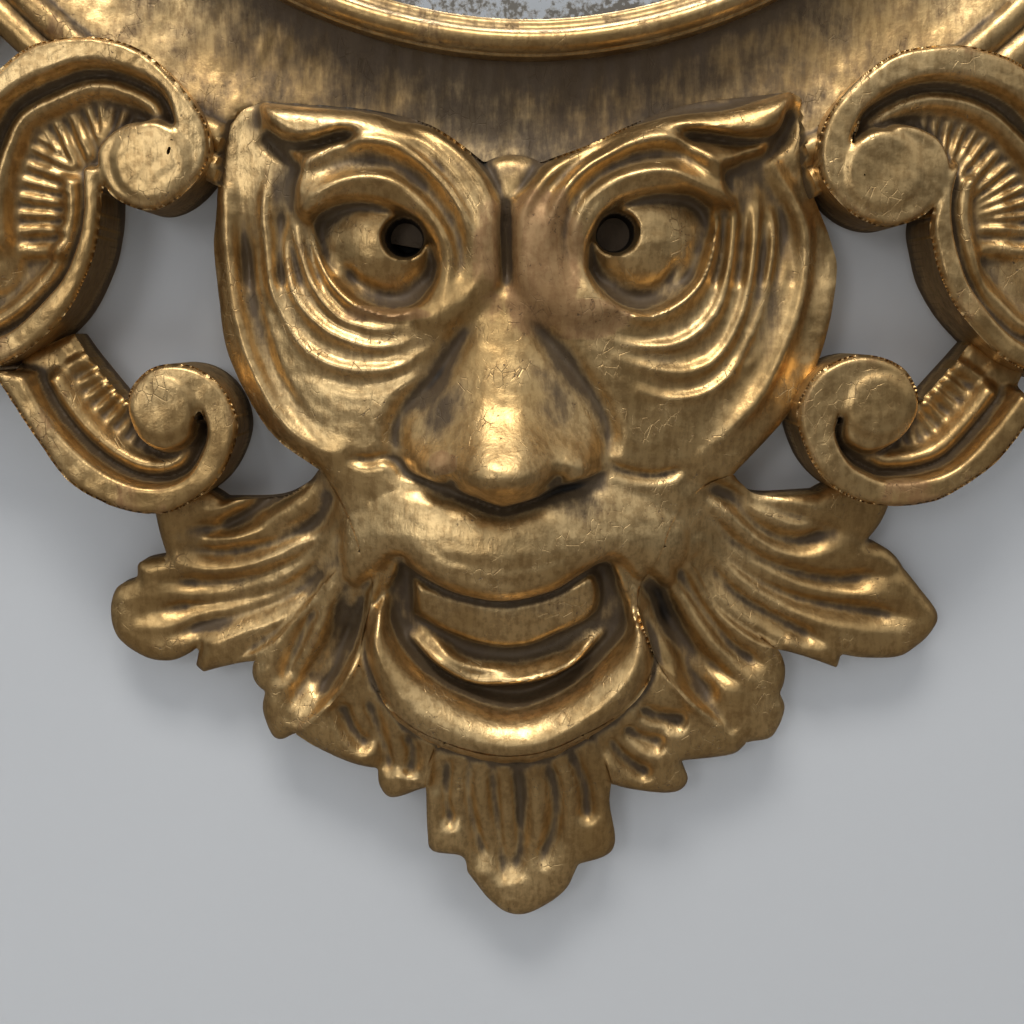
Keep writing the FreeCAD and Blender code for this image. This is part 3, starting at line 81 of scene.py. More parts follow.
print("middle of the picture lies at", traced([(512, 512)], 36.0).round(1))

# %% [markdown]
# ## Curves
# A carver draws an outline with a few points and lets the hand join them. `smooth` does the
# same with a Catmull-Rom curve, and `outline` joins runs of points: two make a straight cut,
# three an arc, and more a free curve.

# %% Curves through points


def smooth(points, per_span=8):
    """Catmull-Rom curve: cubics whose slope at a point is half the step between its neighbours."""
    p = np.asarray(points, float)
    padded = np.concatenate([[2 * p[0] - p[1]], p, [2 * p[-1] - p[-2]]])
    p0, p1, p2, p3 = (padded[i:len(padded) - 3 + i, None, :] for i in range(4))
    t = np.linspace(0, 1, per_span, endpoint=False)[None, :, None]
    cubic = 0.5 * (2 * p1 + (p2 - p0) * t + (2 * p0 - 5 * p1 + 4 * p2 - p3) * t**2
                   + (3 * p1 - p0 - 3 * p2 + p3) * t**3)
    return np.concatenate([cubic.reshape(-1, p.shape[1]), p[-1:]])


def arc_through(a, b, c, count=14):
    """Arc from a to c through b: the centre is equally far from all three, the angle runs evenly."""
    (ax, ay), (bx, by), (cx, cy) = a, b, c
    d = 2 * (ax * (by - cy) + bx * (cy - ay) + cx * (ay - by))
    sa, sb, sc = ax * ax + ay * ay, bx * bx + by * by, cx * cx + cy * cy
    centre = np.array([(sa * (by - cy) + sb * (cy - ay) + sc * (ay - by)) / d,
                       (sa * (cx - bx) + sb * (ax - cx) + sc * (bx - ax)) / d])
    angles = [math.atan2(p[1] - centre[1], p[0] - centre[0]) for p in (a, b, c)]
    sweep = (angles[2] - angles[0]) % (2 * math.pi)
    if (angles[1] - angles[0]) % (2 * math.pi) > sweep:
        sweep -= 2 * math.pi
    turn = angles[0] + sweep * np.linspace(0, 1, count)
    return centre + math.dist(a, centre) * np.stack([np.cos(turn), np.sin(turn)], axis=1)


def outline(runs):
    """One path from runs of points, each starting where the last one ended."""
    pieces = []
    for run in runs:
        if len(run) == 2:
            part = np.array(run, float)
        elif len(run) == 3:
            part = arc_through(*run)
        else:
            part = smooth(run)
        pieces.append(part[:-1])
    end = np.array(runs[-1][-1], float)
    return np.concatenate(pieces + [end[None]])


def ring_path(centre, radius, count=40):
    turn = np.linspace(0, 2 * math.pi, count)
    return np.array(centre) + radius * np.stack([np.cos(turn), np.sin(turn)], axis=1)


def backwards(runs):
    """The same runs, walked the other way."""
    return [run[::-1] for run in runs[::-1]]


def closed(path):
    """The path with its first point again at its end."""
    return np.concatenate([path, path[:1]]) if np.abs(path[0] - path[-1]).max() > 1e-6 else path


def nearest(x, z, path, kept=None):
    """Distance from each point to a path, and the nearest place on its (kept) segments."""
    best = np.full(x.shape, 1e12)
    near_x, near_z = np.zeros(x.shape), np.zeros(x.shape)
    segments = [pair for i, pair in enumerate(zip(path[:-1], path[1:])) if kept is None or kept[i]]
    for (ax, az), (bx, bz) in segments:
        dx, dz = bx - ax, bz - az
        t = np.clip(((x - ax) * dx + (z - az) * dz) / max(dx * dx + dz * dz, 1e-9), 0, 1)
        px, pz = ax + t * dx, az + t * dz
        gap = (x - px)**2 + (z - pz)**2
        closer = gap < best
        best = np.where(closer, gap, best)
        near_x, near_z = np.where(closer, px, near_x), np.where(closer, pz, near_z)
    return np.sqrt(best), near_x, near_z


def inside(x, z, path):
    """Even-odd rule: from inside, a ray to the right crosses the closed path an odd number of times."""
    crossed = np.zeros(x.shape, bool)
    for (ax, az), (bx, bz) in zip(path[:-1], path[1:]):
        if abs(bz - az) > 1e-12:
            crossed ^= ((az > z) != (bz > z)) & (x < ax + (z - az) / (bz - az) * (bx - ax))
    return crossed


# %% [markdown]
# ## A block of wood as heights
# The front of a carving hardly undercuts, so a grid of heights above the wall holds it well:
# each tool changes the heights near a drawn path, as a gouge or a flat chisel does. A real
# carver also leaves small facets and wobbles, which come at the end from slow noise.

# %% The carver's tools


def ease(t):
    """Smooth step: 3t^2 - 2t^3 between 0 and 1, flat outside."""
    t = np.clip(t, 0, 1)
    return t * t * (3 - 2 * t)


def blurred(h, reach):
    """Box blur done twice each way: the mean over a sliding window, close to a Gaussian."""
    size = max(int(reach), 1)
    for _ in range(2):
        for axis in (0, 1):
            pad = [(0, 0), (0, 0)]
            pad[axis] = (size + 1, size)
            total = np.cumsum(np.pad(h, pad, mode="edge"), axis=axis)
            span = 2 * size + 1
            h = (np.take(total, range(span, total.shape[axis]), axis=axis)
                 - np.take(total, range(0, total.shape[axis] - span), axis=axis)) / span
    return h


def wobble(x, z, size, seed):
    """Slow hand-made unevenness: a sum of sine waves of random direction and phase, about 0 +- 1."""
    rng = np.random.default_rng(seed)
    total = np.zeros(x.shape)
    for _ in range(7):
        turn, phase, pitch = rng.uniform(0, 2 * math.pi), rng.uniform(0, 2 * math.pi), rng.uniform(0.6, 1.6)
        total += np.sin((x * math.cos(turn) + z * math.sin(turn)) * 2 * math.pi / (size * pitch) + phase)
    return total / 3.5


def fading(share, ends):
    """Strength along a tool's path: full in the middle, down to `ends` over the first and last fifth."""
    return ((ends[0] + (1 - ends[0]) * ease(share / 0.2))
            * (ends[1] + (1 - ends[1]) * ease((1 - share) / 0.2)))


crease_angle = math.radians(52.0)
saw_passes = 10
wall_hollow = 1.15              # a sawn side wall counts as hollow, so it is painted dark brown as shade
rim_jump = 1.5                  # a rim point this far below its neighbours is raised to them


class Carving:
    """Heights over a grid of x and z, all in millimetres, worked by tools that follow paths."""

    def __init__(self, low, high, step, height):
        self.low, self.step = low, step
        columns = int(round((high[0] - low[0]) / step)) + 1
        rows = int(round((high[1] - low[1]) / step)) + 1
        self.x, self.z = np.meshgrid(low[0] + step * np.arange(columns), low[1] + step * np.arange(rows))
        self.h = height(self.x, self.z) if callable(height) else np.full(self.x.shape, float(height))
        # Bole marks where the red ground shows; the second grid holds painted shade and grime for the hollow
        # value.
        self.bole, self.shade_and_grime = np.zeros(self.x.shape), np.zeros(self.x.shape)

    def window(self, path, reach):
        """The part of the grid within reach of some points."""
        first = np.floor((path.min(0) - reach - self.low) / self.step).astype(int)
        last = np.ceil((path.max(0) + reach - self.low) / self.step).astype(int) + 1
        return slice(max(first[1], 0), max(last[1], 0)), slice(max(first[0], 0), max(last[0], 0))

    def near(self, path, reach):
        """Distance to a path (no more than reach), share of its length there, and side: left of it is +1."""
        gap = np.full(self.h.shape, float(reach)**2)
        share, side = np.zeros(self.h.shape), np.ones(self.h.shape)
        step = path[1:] - path[:-1]
        length = np.maximum(np.hypot(*step.T), 1e-9)
        start = np.concatenate([[0], np.cumsum(length)])
        for here, (dx, dz), size, run in zip(path[:-1], step, length, start[:-1]):
            win = self.window(np.array([here, here + (dx, dz)]), reach)
            x, z = self.x[win] - here[0], self.z[win] - here[1]
            t = np.clip((x * dx + z * dz) / size**2, 0, 1)
            away = (x - t * dx)**2 + (z - t * dz)**2
            closer = away < gap[win]
            np.copyto(gap[win], away, where=closer)
            np.copyto(share[win], (run + t * size) / start[-1], where=closer)
            np.copyto(side[win], np.sign(dx * z - dz * x), where=closer)
        return np.sqrt(gap), share, side

    def inset(self, path, reach):
        """How far inside a closed path, from -reach to reach."""
        path = closed(path)
        gap = self.near(path, reach)[0]
        win = self.window(path, 0)
        within = np.zeros(self.h.shape, bool)
        within[win] = inside(self.x[win], self.z[win], path)
        return np.where(within, gap, -gap)

    def gouge(self, points, width, depth, ends=(0.0, 0.0), power=1.4):
        """V with soft lips along a curve: depth * (1 - distance/width)^power, fading to `ends`."""
        gap, share, _ = self.near(smooth(points), width)
        self.h -= depth * fading(share, ends) * (1 - gap / width)**power

    def ridge(self, points, width, height, ends=(0.0, 0.0)):
        """Rounded ridge along a curve: height * (1 - (distance/width)^2)^2."""
        gap, share, _ = self.near(smooth(points), width)
        self.h += height * fading(share, ends) * (1 - (gap / width)**2)**2

    def terrace(self, points, drop, fade=14.0, width=1.6, left=True, ends=(0.3, 0.3)):
        """Overlap along a curve: one side drops over `width`, climbs back as (1 - away/fade)^1.5."""
        gap, share, side = self.near(smooth(points), fade)
        away = gap * (side if left else -side)
        within = (share > 0) & (share < 1)
        cut = ease((away + width / 2) / width) * np.clip(1 - away / fade, 0, 1)**1.5
        self.h -= np.where(within & (gap < fade), drop * fading(share, ends) * cut, 0)

    def pad(self, path, top, rounding, soft=1.0):
        """Raised form in a closed path: top - r + sqrt(r^2 - (r - inset)^2), or what is higher."""
        inset = self.inset(path, max(rounding, soft) + 1)
        top = top(self.x, self.z) if callable(top) else top
        form = top - rounding + np.sqrt(rounding**2 - (rounding - np.clip(inset, 0, rounding))**2)
        form += 1.5 * np.minimum(inset, 0)
        self.h += ease(inset / (2 * soft) + 1) * (np.maximum(self.h, form) - self.h)

    def sink(self, path, floor, rounding, soft=1.0):
        """Hollow in a closed path: floor + r - sqrt(r^2 - (r - inset)^2), or what is lower."""
        inset = self.inset(path, max(rounding, soft) + 1)
        floor = floor(self.x, self.z) if callable(floor) else floor
        form = floor + rounding - np.sqrt(rounding**2 - (rounding - np.clip(inset, 0, rounding))**2)
        self.h += ease((inset + soft) / (2 * soft)) * (np.minimum(self.h, form) - self.h)

    def roll(self, path, rounding, drop):
        """Round the edge of a board over: within `rounding` of the path it falls by up to `drop`."""
        inset = np.clip(self.inset(path, rounding), 0, rounding) / rounding
        self.h -= drop * (1 - np.sqrt(1 - (1 - inset)**2))

    def press(self, path, depth, soft):
        """Lower the wood inside a closed path, coming in from its edge over `soft`."""
        self.h -= depth * ease(self.inset(path, soft + 1) / soft)

    def paint_shade(self, path, amount, soft):
        """Painted shade inside a closed path, fading at its edge."""
        self.shade_and_grime = np.maximum(self.shade_and_grime, amount * ease(self.inset(path, soft + 1) / soft))

    def dig(self, centre, radius, depth, edge=1.2):
        """Round hole with a soft lip."""
        gap = np.hypot(self.x - centre[0], self.z - centre[1])
        self.h -= depth * ease((radius - gap) / edge + 0.5)

    def stain(self, centre, radii, strength, darkening=False):
        """Soft ellipse where the red ground shows through, or a dark patch of grime and painted shade, as
        exp(-away).
        """
        away = ((self.x - centre[0]) / radii[0])**2 + ((self.z - centre[1]) / radii[1])**2
        if darkening:
            self.shade_and_grime = np.maximum(self.shade_and_grime, strength * np.exp(-away))
        else:
            self.bole = np.maximum(self.bole, strength * ease(1.6 - away))

    def finish(self, rub=1, unevenness=0.25, seed=3):
        """Rub the edges soft, add the hand's unevenness, and note the hollows, which are painted dark as
        grime and shade.
        """
        self.h = blurred(self.h, rub) if rub else self.h
        self.h += unevenness * wobble(self.x, self.z, 26.0, seed)
        self.h += 0.3 * unevenness * wobble(self.x, self.z, 7.0, seed + 1)
        wide = blurred(self.h, 7 / self.step) - self.h
        fine = blurred(self.h, 2.5 / self.step) - self.h
        # Concavity plus the painted shade grid: the higher this value, the darker the gilding is painted.
        self.hollow = np.clip(wide / 5.0, -1, 1) * 0.6 + np.clip(fine / 1.6, -1, 1) * 0.6 + self.shade_and_grime


def shade_smooth(mesh):
    """Smooth all over, but for edges where the surface turns by more than the crease angle."""
    mesh.polygons.foreach_set("use_smooth", np.ones(len(mesh.polygons), bool))
    mesh.set_sharp_from_angle(angle=crease_angle)


def make_piece(name, vertices, faces, smooth_shade=True, **shades):
    """A mesh object at the origin: vertices (x, y, z) in millimetres, faces, and values on points."""
    mesh = bpy.data.meshes.new(name)
    mesh.from_pydata((np.asarray(vertices) * MM).tolist(), [], np.asarray(faces).tolist())
    for shade, values in shades.items():
        values = np.asarray(values, np.float32).ravel()
        mesh.attributes.new(shade, "FLOAT", "POINT").data.foreach_set("value", values)
    if smooth_shade:
        shade_smooth(mesh)
    piece = bpy.data.objects.new(name, mesh)
    bpy.context.scene.collection.objects.link(piece)
    return piece


def close_back(mesh):
    """Fill each open rim with one flat face."""
    work = bmesh.new()
    work.from_mesh(mesh)
    bmesh.ops.holes_fill(work, edges=[edge for edge in work.edges if edge.is_boundary], sides=0)
    work.to_mesh(mesh)
    work.free()
    shade_smooth(mesh)


def tallest(h):
    """Each height raised to the highest of its eight neighbours."""
    for axis in (0, 1):
        h = np.maximum(h, np.maximum(np.roll(h, 1, axis), np.roll(h, -1, axis)))
    return h


def on_saw_line(x, z, h, rim, paths):
    """Move a rim onto the outline round all paths; between moves, points are averaged."""
    kept = []
    for path in paths:
        mx, mz = ((path[1:] + path[:-1]) / 2).T
        kept.append(~np.any([inside(mx, mz, other) for other in paths if other is not path]
                            + [np.zeros(mx.shape, bool)], axis=0))
    after, before = np.arange(len(x)), np.arange(len(x))
    after[rim[:, 0]], before[rim[:, 1]] = rim[:, 1], rim[:, 0]
    line = np.unique(rim)
    for _ in range(saw_passes):
        found = np.array([nearest(x[line], z[line], path, keep) for path, keep in zip(paths, kept)])
        pick = found[:, 0].argmin(axis=0)
        x[line], z[line] = found[pick, 1, np.arange(len(line))], found[pick, 2, np.arange(len(line))]
        ahead, behind = after[line], before[line]
        x[line], z[line] = (x[line] * 2 + x[ahead] + x[behind]) / 4, (z[line] * 2 + z[ahead] + z[behind]) / 4
        h[line] = (h[line] * 2 + h[ahead] + h[behind]) / 4
    return x, z, h


def cut_out(carving, name, paths, back):
    """Saw to closed outlines: grid cells inside any, their rim moved onto the outline, a wall behind."""
    paths = [closed(path) for path in paths]
    win = carving.window(np.concatenate(paths), 2 * carving.step)
    x, z, h, hollow, bole = (grid[win] for grid in (carving.x, carving.z, carving.h,
                                                    carving.hollow, carving.bole))
    high = tallest(h).ravel()
    within = np.any([inside(x, z, path) for path in paths], axis=0).ravel()
    rows, columns = x.shape
    corner = (np.arange(rows - 1)[:, None] * columns + np.arange(columns - 1)[None, :]).ravel()
    quads = np.stack([corner, corner + 1, corner + columns + 1, corner + columns], axis=1)
    quads = quads[within[quads].sum(axis=1) >= 2]
    x, z, h = x.ravel().copy(), z.ravel().copy(), h.ravel().copy()
    used = np.unique(quads)
    quads = np.searchsorted(used, quads)
    edges = np.stack([quads, np.roll(quads, -1, axis=1)], axis=2).reshape(-1, 2)
    key = np.sort(edges, axis=1)
    _, first, count = np.unique(key[:, 0] * len(used) + key[:, 1], return_index=True, return_counts=True)
    rim = edges[first[count == 1]]
    line = used[np.unique(rim)]
    h[line] = np.where(high[line] - h[line] > rim_jump, high[line], h[line])
    x[used], z[used], h[used] = on_saw_line(x[used], z[used], h[used], rim, paths)
    front = np.stack([x[used], -h[used], z[used]], axis=1)
    rim_points, place = np.unique(rim, return_inverse=True)
    place = place.reshape(-1, 2) + len(used)
    behind = front[rim_points].copy()
    behind[:, 1] = -back
    wall = np.stack([rim[:, 1], rim[:, 0], place[:, 0], place[:, 1]], axis=1)
    # Side walls take the wall hollow value: painted shade.
    shades = {"hollow": np.concatenate([hollow.ravel()[used], np.full(len(rim_points), wall_hollow)]),
              "bole": np.concatenate([bole.ravel()[used], np.zeros(len(rim_points))])}
    piece = make_piece(name, np.concatenate([front, behind]), np.concatenate([quads, wall]), **shades)
    close_back(piece.data)
    return piece


def fitted(piece, node, material):
    """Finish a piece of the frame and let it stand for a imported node."""
    piece.data.materials.append(material)
    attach(piece, "frame")
    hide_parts(node)
    return piece


print("tools ready")

# %% [markdown]
# ## Shader maths
# A material is a sum: so much gold, less where grime and painted shade lie, a red ground where the leaf has
# worn.
# Sums are easiest to read as Python expressions, so a small class wraps a socket and adds the
# Math nodes. Every other node comes from one method of the recipe.

# %% Signals and recipes


class Signal:
    """A socket of a material's nodes that takes part in Python expressions."""

    def __init__(self, recipe, socket):
        self.recipe, self.socket = recipe, socket

    def maths(self, operation, a, b):
        return self.recipe.node("ShaderNodeMath", {"operation": operation}, {0: a, 1: b})

    def __add__(self, other):
        return self.maths("ADD", self, other)

    def __sub__(self, other):
        return self.maths("SUBTRACT", self, other)

    def __rsub__(self, other):
        return self.maths("SUBTRACT", other, self)

    def __mul__(self, other):
        return self.maths("MULTIPLY", self, other)

    __radd__, __rmul__ = __add__, __mul__

    def between(self, low, high):
        """Smooth step from 0 at `low` to 1 at `high`."""
        return self.recipe.node("ShaderNodeMapRange", {"interpolation_type": "SMOOTHSTEP"},
                                {"Value": self, "From Min": low, "From Max": high})

    def most(self, other):
        return self.maths("MAXIMUM", self, other)


class Recipe:
    """A material and the one way its nodes are made."""

    def __init__(self, name):
        self.material = bpy.data.materials.new(name)
        self.material.use_nodes = True
        self.tree = self.material.node_tree
        self.tree.nodes.clear()
        self.place = self.node("ShaderNodeTexCoord", out="Object")

    def node(self, kind, settings=None, sockets=None, out=0):
        node = self.tree.nodes.new(kind)
        for key, value in (settings or {}).items():
            setattr(node, key, value)
        for key, value in (sockets or {}).items():
            if isinstance(value, Signal):
                self.tree.links.new(value.socket, node.inputs[key])
            else:
                node.inputs[key].default_value = value
        return Signal(self, node.outputs[out])

    def noise(self, size, detail=3.0, rough=0.55, stretch=(1, 1, 1), shift=(0, 0, 0)):
        """Noise around 0.5 whose blots are about `size` millimetres across."""
        place = self.node("ShaderNodeMapping", None,
                          {"Vector": self.place, "Scale": stretch, "Location": shift})
        return self.node("ShaderNodeTexNoise", None, {"Vector": place, "Scale": 1000.0 / size,
                                                      "Detail": detail, "Roughness": rough})

    def mixed(self, share, a, b):
        return self.node("ShaderNodeMix", {"data_type": "RGBA"}, {0: share, 6: a, 7: b}, out=2)

    def value(self, attribute):
        """A value that a piece carries on its points; 0 where it carries none."""
        return self.node("ShaderNodeAttribute", {"attribute_name": attribute}, out="Fac")

    def surface(self, height=None, depth=0.4, strength=0.6, **sockets):
        """Principled surface; `height` becomes bumps up to `depth` millimetres deep."""
        sockets = {key.replace("_", " "): value for key, value in sockets.items()}
        if height is not None:
            sockets["Normal"] = self.node("ShaderNodeBump", None, {"Height": height, "Strength": strength,
                                                                   "Distance": depth * MM})
        shader = self.node("ShaderNodeBsdfPrincipled", None, sockets)
        self.node_output(shader)
        return self.material

    def node_output(self, shader):
        output = self.tree.nodes.new("ShaderNodeOutputMaterial")
        self.tree.links.new(shader.socket, output.inputs["Surface"])


# %% [markdown]
# ## Old water gilding
# Leaf gold lies on red-brown bole over white gesso. After long use the high edges are
# rubbed to the bole, hollows are painted dark as brown grime and shade, and the whole carries fine cracks and
# specks.
# Each piece tells its material how hollow it is and where bole shows, as values on its points.

# %% Gilding


def gilding(name, seed=0.0, wear=0.0, dirt_and_shade=0.0):
    r = Recipe(name)
    shift = (seed, 2 * seed, 0)
    cloud, patch = r.noise(60, shift=shift), r.noise(15, 5.0, 0.6, shift=shift)
    grain, speck = r.noise(2.6, 4.0, 0.65, shift=shift), r.noise(1.2, 2.0, shift=shift)
    strokes = r.noise(8, 4.0, 0.6, stretch=(3, 3, 0.6), shift=shift)
    hollow, bole = r.value("hollow"), r.value("bole")
    cracks = r.node("ShaderNodeTexVoronoi", {"feature": "DISTANCE_TO_EDGE"},
                    {"Vector": r.node("ShaderNodeMapping", None, {"Vector": r.place, "Scale": (1, 1, 0.6)}),
                     "Scale": 270.0})
    crackle = (1 - cracks.between(0.0, 0.04)) * patch.between(0.52, 0.64)
    rubbed = (bole * 0.7 + patch * 1.3 + strokes * 0.5 - 0.18 * hollow - 1.13 + wear).between(0.0, 0.35)
    # Darkening from the hollow value: brown grime and painted shade in hollows, on side walls and in marked
    # patches.
    darkening = (hollow * 0.95 + patch * 1.1 + strokes * 0.5 - 0.93 + dirt_and_shade).between(0.0, 0.75)
    specks = speck.between(0.60, 0.67) * grain.between(0.48, 0.6) * patch.between(0.46, 0.6)
    dark = (specks * 0.8 + crackle * 0.35).most(darkening)
    gold = r.mixed(cloud.between(0.36, 0.66), (0.52, 0.335, 0.135, 1), (0.74, 0.52, 0.245, 1))
    gold = r.mixed((grain * strokes * 2).between(0.32, 0.72) * 0.6, gold, (0.32, 0.19, 0.072, 1))
    gold = r.mixed(rubbed * 0.6, gold, (0.17, 0.066, 0.021, 1))
    gold = r.mixed(dark * 0.92, gold, (0.055, 0.034, 0.017, 1))
    # Painted shade: the deepest hollows, such as the drilled pupils, turn near black.
    gold = r.mixed(hollow.between(1.35, 1.8), gold, (0.008, 0.006, 0.004, 1))
    depth = r.node("ShaderNodeSeparateXYZ", None, {0: r.place}, out="Y")
    back = depth.between(-0.0052, -0.0042)
    gold = r.mixed(back, gold, (0.36, 0.25, 0.13, 1))
    relief = grain * 0.4 + strokes * 0.4 + patch * 0.5 - crackle * 0.4 - specks * 0.3
    return r.surface(relief, 0.7, 0.5, Base_Color=gold,
                     Metallic=(1 - (dark * 0.8).most(rubbed * 0.5)) * (0.94 - 0.94 * back),
                     Roughness=0.28 + 0.16 * patch + 0.25 * dark + 0.12 * rubbed + 0.2 * back)


carved_gold = gilding("carved_gold")
rim_gold = gilding("rim_gold", seed=0.7, wear=0.16, dirt_and_shade=0.34)
print("gilding", len(carved_gold.node_tree.nodes), "nodes")

# %% Bare wood


def wood(name, pale, dark, ring_size, along):
    """Boards: growth lines as a noise drawn out along the grain, with fine pores."""
    r = Recipe(name)
    stretch = (0.06, 1, 1) if along == "x" else (1, 1, 0.06)
    growth = r.noise(ring_size, 5.0, 0.6, stretch)
    pores = r.noise(1.2, 3.0, 0.6, (1, 1, 0.1) if along == "z" else (0.1, 1, 1))
    darkening = r.noise(60, 4.0).between(0.35, 0.75)
    colour = r.mixed(growth.between(0.35, 0.65), pale, dark)
    colour = r.mixed(pores.between(0.55, 0.7) * 0.5, colour, (0.07, 0.04, 0.02, 1))
    colour = r.mixed(darkening * 0.5, colour, tuple(0.45 * c for c in dark[:3]) + (1,))
    return r.surface(growth * 0.5 + pores * 0.5, 0.5, 0.5, Base_Color=colour, Roughness=0.62 + 0.2 * darkening)


limewood = wood("bare_limewood", (0.55, 0.42, 0.26, 1), (0.42, 0.30, 0.17, 1), 5.0, "x")

# %% [markdown]
# ## The room
# The mirror hangs on a pale blue-grey wall. Light comes from above, as from a ceiling, and the
# room in front is dimmer: gold shows its form only when it has something darker to reflect.
# The wall is seen through from behind, so that the back of the mirror can be looked at.

# %% Wall, floor and light
wall_gap = 0.4
floor_z = -640.0
reflected_paint = (0.16, 0.14, 0.12, 1)


def painted(name, colour, see_through=False):
    """Paint that turns dark in reflections, so that gold and glass see a dim lower half of a room."""
    r = Recipe(name)
    fine = r.noise(6, 4.0)
    paint = r.mixed(fine * 0.12, colour, tuple(0.9 * c for c in colour[:3]) + (1,))
    mirrored = r.node("ShaderNodeLightPath", out="Is Glossy Ray")
    shader = r.node("ShaderNodeBsdfPrincipled", None, {
        "Base Color": r.mixed(mirrored, paint, reflected_paint), "Roughness": 0.75,
        "Normal": r.node("ShaderNodeBump", None, {"Height": fine, "Strength": 0.15, "Distance": 0.3 * MM})})
    if see_through:
        behind = r.node("ShaderNodeNewGeometry", out="Backfacing")
        clear = r.node("ShaderNodeBsdfTransparent")
        shader = r.node("ShaderNodeMixShader", None, {0: behind, 1: shader, 2: clear})
    r.node_output(shader)
    return r.material


wall = make_piece("wall", [(-1600, wall_gap, floor_z), (1600, wall_gap, floor_z), (1600, wall_gap, 1500),
                           (-1600, wall_gap, 1500)], [(0, 1, 2, 3)], smooth_shade=False)
wall.data.materials.append(painted("pale_wall", (0.58, 0.595, 0.61, 1), see_through=True))
wall.visible_shadow = False
floor = make_piece("floor", [(-1600, 1600, floor_z), (-1600, -2600, floor_z), (1600, -2600, floor_z),
                             (1600, 1600, floor_z)], [(0, 1, 2, 3)], smooth_shade=False)
floor.data.materials.append(painted("pale_floor", (0.66, 0.66, 0.65, 1)))


def soft_light(name, place, aim, size, watts, colour=(1, 1, 1)):
    data = bpy.data.lights.new(name, "AREA")
    data.shape, data.size, data.size_y = "RECTANGLE", size[0] * MM, size[1] * MM
    data.energy, data.color = watts, colour
    lamp = bpy.data.objects.new(name, data)
    lamp.location = Vector(place) * MM
    lamp.rotation_euler = (Vector(aim) - Vector(place)).to_track_quat("-Z", "Y").to_euler()
    bpy.context.scene.collection.objects.link(lamp)


soft_light("ceiling", (-150, -900, 1250), (0, 0, -250), (900, 420), 18.0, (1.0, 0.98, 0.95))
soft_light("window", (-620, -1450, 0), (0, 0, -250), (360, 420), 2.4, (0.97, 0.98, 1.0))

world = bpy.data.worlds.new("room")
world.use_nodes = True
bpy.context.scene.world = world
tree = world.node_tree
tree.nodes.clear()
dim, pale = tree.nodes.new("ShaderNodeBackground"), tree.nodes.new("ShaderNodeBackground")
dim.inputs["Color"].default_value = (0.86, 0.88, 0.92, 1)
pale.inputs["Color"].default_value, pale.inputs["Strength"].default_value = (0.85, 0.87, 0.90, 1), 1.0
path = tree.nodes.new("ShaderNodeLightPath")
chosen = tree.nodes.new("ShaderNodeMixShader")
end = tree.nodes.new("ShaderNodeOutputWorld")
# The room is bright above and dim below, as under a lit ceiling.
bearing, split, fall = (tree.nodes.new("ShaderNode" + kind)
                        for kind in ("TexCoord", "SeparateXYZ", "MapRange"))
for socket, value in (("From Min", -0.04), ("From Max", 0.34), ("To Min", 0.035), ("To Max", 0.66)):
    fall.inputs[socket].default_value = value
tree.links.new(bearing.outputs["Generated"], split.inputs[0])
tree.links.new(split.outputs["Z"], fall.inputs["Value"])
tree.links.new(fall.outputs["Result"], dim.inputs["Strength"])
tree.links.new(path.outputs["Is Camera Ray"], chosen.inputs[0])
tree.links.new(dim.outputs[0], chosen.inputs[1])
tree.links.new(pale.outputs[0], chosen.inputs[2])
tree.links.new(chosen.outputs[0], end.inputs["Surface"])
bpy.context.scene.view_settings.view_transform = "Standard"
print("room set")

# %% [markdown]
# ## The mask and its beard of leaves
# The carver worked this from one wide board and then cut it into a face and seven leaves, so
# flutes run on from one to the next. It is drawn the same way here: one field of heights, the
# strokes of the gouge taken from the photograph, and then eight pieces sawn from it.

# %% Bare form of the face
mask_middle = -6.0
stroke_height = 36.0            # height at which a stroke of the face is drawn, unless it says another
leaf_height = 26.0
carving_back = 4.0              # height of a carving's flat back above the wall
scroll_back = 4.6               # the scrolls' backs lie in a plane of their own
mask_saw = [
    [(-95.1, -213.9), (-80, -214.9), (-52.9, -217.5), (-35, -222.8), (-15.9, -235.5)],
    [(-15.9, -235.5), (-6, -232.5), (4.7, -235.5)],
    [(4.7, -235.5), (22, -229.6), (44, -219), (61, -214), (77, -212.2), (93.1, -210.5)],
    [(93.1, -210.5), (98, -213), (99, -222), (101, -240), (110.6, -262.3), (113.3, -276.3), (107.7, -304.9),
     (95.5, -326.8), (76.2, -347.8)],
    [(76.2, -347.8), (58, -358), (50, -373)],
    [(50, -373), (41, -394), (45.7, -411), (49, -419)],
    [(49, -419), (37, -434), (20, -443.5)],
    [(20, -443.5), (-7, -451), (-30.7, -446.2)],
    [(-30.7, -446.2), (-50, -436), (-64, -420)],
    [(-64, -420), (-62.7, -410.5), (-58.3, -389.7), (-62, -375)],
    [(-62, -375), (-68, -360), (-77.5, -345.9)],
    [(-77.5, -345.9), (-95.8, -331.4), (-109.9, -305.3), (-113.4, -283.7), (-115, -265.2), (-113.5, -252.5),
     (-110.5, -226.8), (-104, -216.5), (-95.1, -213.9)],
]
